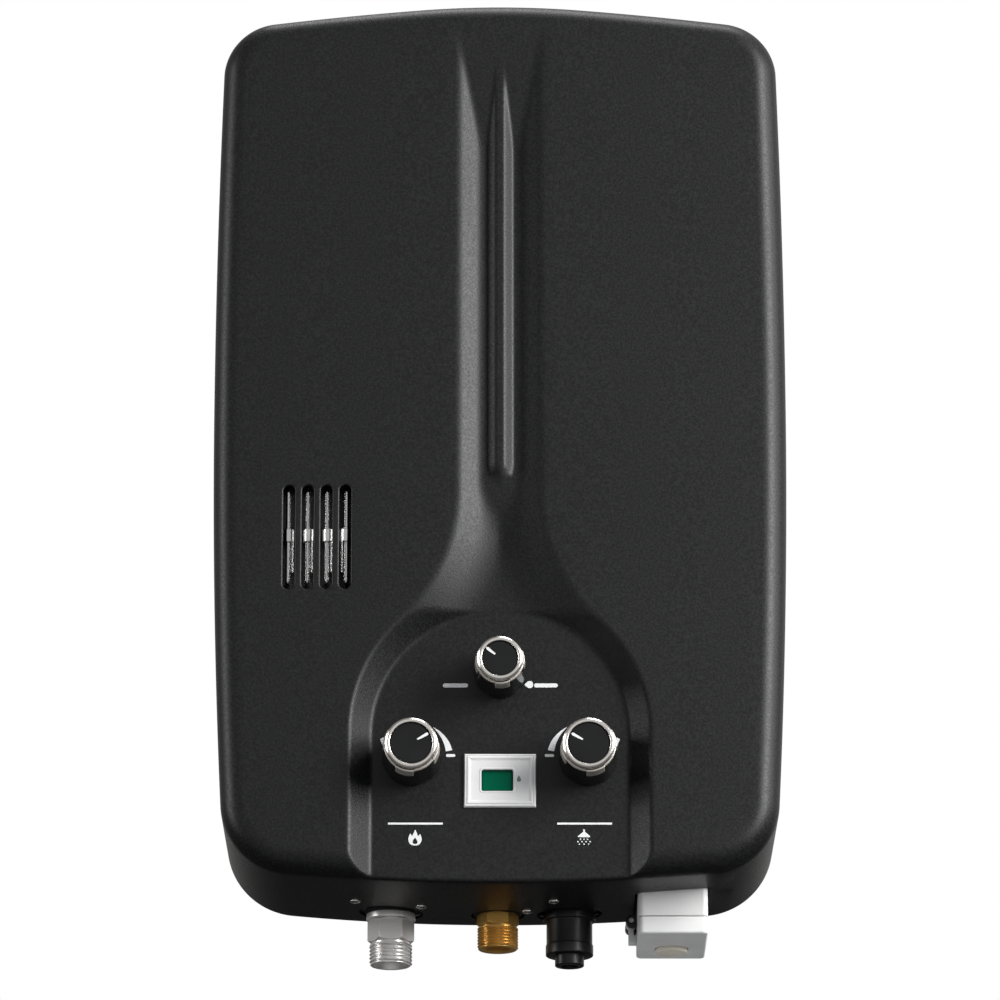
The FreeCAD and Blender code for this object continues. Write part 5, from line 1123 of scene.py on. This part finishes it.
def wedge(x, z, radius, mirror):
    """Small arrow end of the scale."""
    path = []
    for degrees, more in ((149.0, 0.5), (158.0, -2.4), (150.0, -1.9), (143.0, -0.4)):
        turn, r = math.radians(degrees), radius + more
        path.append((x + mirror * r * math.cos(turn), z + r * math.sin(turn)))
    return path


def shower(x, z):
    """Spray head over rows of drops."""
    shapes = [(rectangle(x - 0.45, x + 0.45, z + 2.6, z + 4.0, 0.2, 2), [])]
    cone = [(x - 0.6, z + 2.7), (x - 2.9, z + 0.6), (x - 2.9, z + 0.1), (x + 2.9, z + 0.1),
            (x + 2.9, z + 0.6), (x + 0.6, z + 2.7)]
    shapes.append((cone, []))
    for row, (count, fall) in enumerate(((3, 0.9), (4, 2.1), (3, 3.3))):
        for k in range(count):
            spread = 1.7 + 0.25 * row
            shapes.append((circle(x + (k - (count - 1) / 2) * spread, z - fall, 0.36, 12), []))
    return shapes


def panel_prints():
    season, gas, water = (middle(k + "_spindle") for k in ("season", "gas", "water"))
    shapes = [(bar(season.x - 27.6, season.x - 15.4, season.z - 5.9, 2.0), []),
              (bar(season.x + 16.4, season.x + 27.9, season.z - 5.9, 2.0), []),
              (drop(season.x + 13.9, season.z - 5.5, 3.6, 4.2, turn=90, sharpness=0.8), [])]
    for centre, mirror in ((gas, 1), (water, -1)):
        shapes.append((crescent(centre.x, centre.z, 18.2, 2.9, 11, 56, mirror), []))
        shapes.append((wedge(centre.x, centre.z, 17.4, mirror), []))
        ends = sorted((centre.x + mirror * 16.4, centre.x + mirror * 20.9))
        shapes.append((bar(*ends, centre.z + 1.1, 1.4), []))
        ends = sorted((centre.x - mirror * 11.3, centre.x + mirror * 15.0))
        shapes.append((rectangle(*ends, centre.z - 33.1, centre.z - 32.1), []))
    flame_x, icon_z = gas.x + 1.7, gas.z - 39.6
    shapes.append((flame(flame_x, icon_z, 7.4), [drop(flame_x, icon_z - 1.5, 2.5, 3.2, sharpness=1.1)]))
    shapes += shower(water.x - 2.15, icon_z + 0.2)
    flat_print("panel_marks", shapes, PANEL_Y, "front_cover")


# ---------------------------------------------------------------- display

BEZEL_FIELD = 1.5         # inner field in front of the panel
BEZEL_STEPS = [(0.0, 0.0), (0.25, 1.55), (0.6, 1.85), (1.05, 1.9), (1.15, 1.7), (1.4, 1.7), (1.5, 2.05),
               (1.75, 2.2), (2.45, 2.2), (2.7, 2.05), (2.8, 1.85), (3.1, 1.8), (3.25, BEZEL_FIELD)]
WINDOW_LIP = [(1.15, BEZEL_FIELD), (1.0, 1.62), (0.7, 1.7), (0.25, 1.7), (0.05, 1.55), (0.0, 1.3), (0.0, 0.0)]
WINDOW_CORNER_R = 0.9


def framed(profile, x0, x1, z0, z1, corner=0.0):
    """Moulding round a rectangle from (inset, proud) steps; negative insets grow it."""
    rows = []
    for inset, proud in profile:
        loop = rectangle(x0 + inset, x1 - inset, z0 + inset, z1 - inset, max(0.0, corner - inset), 4)
        rows.append([(x, PANEL_Y - proud, z) for x, z in loop])
    return rows


def display_frame():
    low, high = span("display_bezel")
    window_low, window_high = span("display_window")
    outer = framed(BEZEL_STEPS, low.x, high.x, low.z, high.z)
    lip = framed([(-grow, proud) for grow, proud in WINDOW_LIP], window_low.x, window_high.x, window_low.z,
                 window_high.z, WINDOW_CORNER_R)
    field = bezel_field([(x, z) for x, _, z in outer[-1]], [(x, z) for x, _, z in lip[0]])
    stand_in("display_frame", joined([rows_mesh(outer), rows_mesh(lip), field]), "display_bezel", 14)


def bezel_field(border, hole):
    """Flat face between the moulding and the window's lip."""
    spots, triangles = sheet(border, [hole], np.empty((0, 2)), 0.1)
    return [(x, PANEL_Y - BEZEL_FIELD, z) for x, z in spots], triangles.tolist()


def display_glass():
    low, high = span("display_window")
    border = rectangle(low.x, high.x, low.z, high.z, WINDOW_CORNER_R, 4)
    stand_in("display_glass", plate(border, [], low.y, high.y), "display_window", 35)
    mark = middle("display_window")
    flat_print("display_mark", [(drop(mark.x + 10.4, mark.z + 0.8, 2.2, 3.2), [])], PANEL_Y - BEZEL_FIELD,
               "display_bezel", finish="mark_green", thick=0.03)


# ---------------------------------------------------------------- pipe ends

PORT_FLANGE_Z = BOTTOM_Z + 0.5
COLLAR_R = 12.0
BARREL_R = 9.0
TUBE_R = 6.35
HOT_HEX = 19.8            # across flats
GAS_HEX = 17.8
HEX_TURN = math.pi / 2
CONE_SLOPE = 1.1


def about(centre):
    """Gives the place at a radius, angle and height about an upright axis."""
    return lambda r, t, z: (centre.x + r * math.cos(t), centre.y + r * math.sin(t), z)


def turned_piece(name, rows, node, sharp):
    """A piece turned about a node's upright axis, standing for the node."""
    stand_in(name, turned_field(rows, about(middle(node))), node, sharp)


def thread_rows(z_low, z_high, radius, depth, pitch, steps=9):
    """Rows of a helical thread that fades out at its upper end."""
    rows = []
    for z in np.arange(z_low, z_high, pitch / steps):
        phase = ((z - z_low) / pitch + TURNS / (2 * math.pi)) % 1.0
        wave = np.clip(np.abs(phase - 0.5) * 2.9 - 0.2, 0, 1)
        fade = min(1.0, (z_high - z) / pitch)
        rows.append((z, radius - depth * wave * fade))
    return rows


def hex_rows(z_low, z_high, across_flats):
    """Rows of a hexagon whose corners are cut back by a cone at each end."""
    apothem = across_flats / 2
    sixth = math.pi / 3
    flats = apothem / np.cos((TURNS - HEX_TURN + sixth / 2) % sixth - sixth / 2)
    rows = []
    for z in np.concatenate([np.arange(z_low, z_low + 1.2, 0.12), np.linspace(z_low + 1.3, z_high - 0.8, 4),
                             np.arange(z_high - 0.7, z_high + 0.01, 0.1)]):
        cone = apothem - 0.25 + 1.5 * min(z - z_low, 1.5 * (z_high - z))
        rows.append((z, soft_min(flats, np.full(TURNS.shape, cone), 0.12)))
    return rows


def with_cone(rows, z_end, radius):
    """Cuts the start of a thread back to a cone."""
    return [(z, np.minimum(r, radius + CONE_SLOPE * (z - z_end))) for z, r in rows]


def hot_outlet():
    low, high = span("hot_water_outlet")
    radius, pitch, bore = 10.4775, 1.814, 8.08
    hex_low, hex_high = low.z + 11.3, low.z + 22.5
    thread_high = low.z + 10.0
    rows = [(hex_low, bore), (low.z + 0.5, bore), (low.z + 0.1, bore + 0.25), (low.z, bore + 0.5),
            (low.z, radius - 1.0)]
    rows += with_cone(thread_rows(low.z + 0.05, thread_high, radius, 1.0, pitch), low.z, radius - 0.9)
    rows += [(thread_high + 0.1, radius - 0.9), (thread_high + 0.3, radius - 1.2), (hex_low, radius - 1.2)]
    rows += hex_rows(hex_low, hex_high, HOT_HEX)
    rows += eased([(radius - 1.2, hex_high, 0), (COLLAR_R, hex_high, 0.5), (COLLAR_R, PORT_FLANGE_Z, 0.3),
                   (BARREL_R, PORT_FLANGE_Z, 0)])
    rows += [(high.z, BARREL_R), (high.z, TUBE_R), (hex_low, TUBE_R), (hex_low, bore)]
    turned_piece("hot_outlet_turned", rows, "hot_water_outlet", 32)


def gas_fitting():
    low, high = span("gas_inlet")
    radius, pitch, bore = 10.0, 1.5, 6.0
    hex_low = low.z + 11.3
    thread_high = low.z + 10.4
    rows = [(high.z, bore), (low.z + 0.9, bore), (low.z, bore + 0.9), (low.z, radius - 0.8)]
    rows += with_cone(thread_rows(low.z + 0.05, thread_high, radius, 0.8, pitch), low.z, radius - 0.8)
    rows += [(thread_high + 0.1, radius - 0.7), (thread_high + 0.3, BARREL_R), (hex_low, BARREL_R)]
    rows += hex_rows(hex_low, PORT_FLANGE_Z, GAS_HEX)
    rows += [(PORT_FLANGE_Z, BARREL_R), (high.z, BARREL_R), (high.z, bore)]
    turned_piece("gas_fitting_turned", rows, "gas_inlet", 32)


def water_coupling():
    low, high = span("water_inlet")
    ring_low = low.z + 5.1
    ring_high = ring_low + 5.2
    flange = PORT_FLANGE_Z - 3.5
    profile = eased([(4.0, high.z, 0), (4.0, low.z, 0.3), (7.1, low.z, 0.6), (7.1, ring_low, 0.2),
                     (11.6, ring_low, 0.7), (11.6, ring_high, 0.4), (11.2, ring_high + 0.2, 0.1),
                     (11.2, flange, 0.15), (12.8, flange, 0.5), (12.8, PORT_FLANGE_Z, 0.3),
                     (BARREL_R, PORT_FLANGE_Z, 0), (BARREL_R, high.z, 0), (4.0, high.z, 0)])
    turned_piece("water_coupling", profile, "water_inlet", 40)


# ---------------------------------------------------------------- vent guard

GUARD_BACK_Y = -90.0
ROD_R = 1.3
ROD_BEND_R = 3.0
ROD_BEND_STEPS = 6
ROD_SIDES = 16
RIB_PITCH = 1.15
RIB_CUT = 0.07            # half the depth between two of a rod's ribs
STUD_R = 0.65
STUD_THREAD = 0.14
STUD_PITCH = 0.6


def repeated(name, node, sharp, shape):
    """A piece that stands for a node, with shape(low, high) for each of its separate solids."""
    stand_in(name, joined(shape(low, high) for low, high in island_boxes(node)), node, sharp)


def guard_rod(low, high):
    """Ribbed wire staple."""
    x, front = (low.x + high.x) / 2, low.y + ROD_R
    z0, z1 = low.z + ROD_R, high.z - ROD_R
    turns = [math.pi / 2 * k / ROD_BEND_STEPS for k in range(ROD_BEND_STEPS + 1)]
    path = [((GUARD_BACK_Y, z0), (0, 1))]
    for t in turns:
        path.append(((front + ROD_BEND_R * (1 - math.sin(t)), z0 + ROD_BEND_R * (1 - math.cos(t))),
                     (math.sin(t), math.cos(t))))
    path += [((front, z), (1, 0)) for z in np.arange(z0 + ROD_BEND_R, z1 - ROD_BEND_R, RIB_PITCH / 5)]
    for t in turns:
        path.append(((front + ROD_BEND_R * (1 - math.cos(t)), z1 - ROD_BEND_R * (1 - math.sin(t))),
                     (math.cos(t), -math.sin(t))))
    path.append(((GUARD_BACK_Y, z1), (0, -1)))
    rows = []
    for (y, z), (ny, nz) in path:
        radius = ROD_R - (RIB_CUT * (1 - math.cos(2 * math.pi * z / RIB_PITCH)) if ny == 1 else 0.0)
        rows.append([(x + radius * math.sin(t), y - ny * radius * math.cos(t), z - nz * radius * math.cos(t))
                     for t in np.linspace(0, 2 * math.pi, ROD_SIDES, endpoint=False)])
    return rows_mesh(rows, capped=True)


def guard_clip(low, high):
    """Facetted clamp block."""
    w, x = (high.x - low.x) / 2, (low.x + high.x) / 2
    section = [(-w, high.y), (-w, low.y + 1.1), (-w + 0.25, low.y + 0.8), (-0.42 * w, low.y),
               (0.36 * w, low.y), (w - 0.3, low.y + 0.7), (w, low.y + 1.0), (w, high.y)]
    rows = []
    for z, inset in ((low.z, 0.6), (low.z + 0.12, 0.25), (low.z + 0.45, 0.0), (high.z - 0.6, 0.0),
                     (high.z - 0.15, 0.2), (high.z, 0.55)):
        rows.append([(x + a * (1 - inset / w), y + (inset if y < high.y - 1 else -inset), z)
                     for a, y in section])
    return rows_mesh(rows, capped=True)


def guard_stud(low, high):
    """Thin threaded stud."""
    rows = [(low.z, 0.0)] + thread_rows(low.z, high.z, STUD_R, STUD_THREAD, STUD_PITCH, steps=5)
    rows += [(high.z, STUD_R), (high.z, 0.0)]
    return turned_field(rows, about((low + high) / 2))


# ---------------------------------------------------------------- small pieces

SHANK_R = 1.6
HEAD_HEIGHT = 1.2
CROSS_SHARPNESS = 14      # how narrow the four arms of a screw's recess are


def screw_head(low, high):
    """Domed head with a cross recess, on its shank."""
    head_r = (high.x - low.x) / 2
    cross = np.maximum(np.abs(np.cos(TURNS)), np.abs(np.sin(TURNS))) ** CROSS_SHARPNESS
    rows = [(high.z, 0.0), (high.z, SHANK_R), (low.z + HEAD_HEIGHT, SHANK_R), (low.z + HEAD_HEIGHT, head_r),
            (low.z + 0.75, head_r), (low.z + 0.35, head_r - 0.25), (low.z + 0.08, head_r - 0.85),
            (low.z, head_r - 1.35), (low.z, 0.45 + 0.75 * cross), (low.z + 0.7, 0.3 + 0.6 * cross),
            (low.z + 0.8, 0.0)]
    return turned_field(rows, about((low + high) / 2))


def button():
    """Push button with a raised centre and two shallow facets."""
    low, high = span("battery_button")
    radius = (high.x - low.x) / 2
    ridge = 0.5 + 0.5 * np.cos(2 * TURNS)
    rows = [(low.z, 0.0), (low.z, 0.5), (low.z + 0.05, 2.6 + 1.2 * ridge), (low.z + 0.35, 3.2 + 1.6 * ridge),
            (low.z + 0.42, radius - 1.3), (low.z + 0.55, radius - 0.6), (low.z + 0.85, radius - 0.15),
            (low.z + 1.3, radius), (high.z, radius), (high.z, 0.0)]
    turned_piece("battery_button_moulded", rows, "battery_button", 40)


SOFT_EDGES = {"battery_box": 0.6, "battery_lid": 0.6, "battery_bracket": 0.25, "connection_bracket": 0.3}


def soft_edged():
    for node, width in SOFT_EDGES.items():
        softened(node, width)


# ---------------------------------------------------------------- stage

CAMERA_PLACE = (0.0, -3.0, -0.9181)
CAMERA_PITCH = 16.932     # degrees above level
LENS_MM = 224.73
SENSOR_MM = 36.0
FLOOR_Z = -2.0
FLOOR_HALF = 9.0
AIM = Vector((0, -0.05, 0))


def camera():
    data = bpy.data.cameras.new("camera")
    data.lens = LENS_MM
    data.sensor_width = SENSOR_MM
    data.clip_end = 60
    made = bpy.data.objects.new("camera", data)
    made.location = CAMERA_PLACE
    made.rotation_euler = (math.radians(90 + CAMERA_PITCH), 0, 0)
    bpy.context.scene.collection.objects.link(made)
    bpy.context.scene.camera = made


def lamp(name, place, size, energy):
    data = bpy.data.lights.new(name, "AREA")
    data.shape = "RECTANGLE"
    data.size, data.size_y = size
    data.energy = energy
    made = bpy.data.objects.new(name, data)
    made.location = place
    made.rotation_euler = (AIM - Vector(place)).to_track_quat("-Z", "Y").to_euler()
    made.visible_camera = False
    bpy.context.scene.collection.objects.link(made)


def floor():
    mesh = bpy.data.meshes.new("floor")
    corners = rectangle(-FLOOR_HALF, FLOOR_HALF, -FLOOR_HALF, FLOOR_HALF)
    mesh.from_pydata([(x, y, FLOOR_Z) for x, y in corners], [], [(0, 1, 2, 3)])
    made = bpy.data.objects.new("floor", mesh)
    bpy.context.scene.collection.objects.link(made)
    pale = Finish("floor_pale")
    drift = pale.noise(900.0)
    seen = pale.node("ShaderNodeLightPath", output=0)
    shade = pale.mix(drift, grey(0.86), grey(0.9))
    pale.set(Base_Color=pale.mix(seen, grey(0.34), shade), Metallic=0.0, Roughness=0.7 + 0.1 * drift)
    mesh.materials.append(pale.owner)
    made.visible_glossy = False


def surroundings():
    """White to the camera and through clear things; reflections see a room that is darker to the left
    and below, with a paler patch in front of the object."""
    world = bpy.data.worlds.new("room")
    bpy.context.scene.world = world
    room = Finish("room", owner=world)
    across, deep, height = room.parts(room.node("ShaderNodeTexCoord", output=0))
    side = across.above(-0.75, 0.7)
    raised = height.above(-0.16, 0.16)
    behind = deep.above(0.15, 0.8)
    ahead = (0.0 - deep).above(0.2, 0.8)
    facing = (0.0 - deep).above(0.7, 0.93) * height.above(-0.5, -0.2)
    seen = raised * (0.1 + 0.4 * side + 0.25 * behind) + 0.22 * facing + 0.3 * (1.0 - raised) * ahead + 0.03
    path = [room.node("ShaderNodeLightPath", output=k) for k in (0, 3, 6)]
    open_view = path[0].math("MAXIMUM", path[0], path[2])
    plain = room.node("ShaderNodeBackground", inputs={0: (0.9, 0.95, 1.0, 1), 1: 0.34 * raised + 0.08})
    glossy = room.node("ShaderNodeBackground", inputs={0: (1.0, 0.99, 0.97, 1), 1: seen})
    white = room.node("ShaderNodeBackground", inputs={0: (1, 1, 1, 1), 1: 1.0})
    mixed = room.node("ShaderNodeMixShader", inputs={0: path[1], 1: plain, 2: glossy})
    mixed = room.node("ShaderNodeMixShader", inputs={0: open_view, 1: mixed, 2: white})
    room.node("ShaderNodeOutputWorld", inputs={"Surface": mixed})


def lights():
    lamp("key_right", (2.3, -1.9, 0.75), (1.1, 1.9), 134)
    lamp("side_right", (2.83, -0.5, 0.88), (0.8, 1.6), 20)
    lamp("rim_left", (-2.2, -0.5, 0.4), (0.5, 1.6), 22)
    lamp("top_strip", (0.2, 0.2, 2.4), (1.8, 0.7), 26)


for node_name in NODES:
    dress_node(node_name)
camera()
lights()
surroundings()
floor()
bpy.context.scene.view_settings.view_transform = "Standard"

front_cover()
for knob_name, knob_sizes in KNOBS.items():
    knob_body(knob_name, knob_sizes)
    knob_trim(knob_name, knob_sizes)
    knob_cap(knob_name, knob_sizes)
    knob_pointer(knob_name, knob_sizes)
panel_prints()
display_frame()
display_glass()
hot_outlet()
gas_fitting()
water_coupling()
repeated("guard_rods_ribbed", "guard_rods", 60, guard_rod)
repeated("guard_clips_cast", "guard_clips", 22, guard_clip)
repeated("guard_studs_threaded", "guard_studs", 60, guard_stud)
repeated("cover_screws_crossed", "cover_screws", 40, screw_head)
button()
soft_edged()
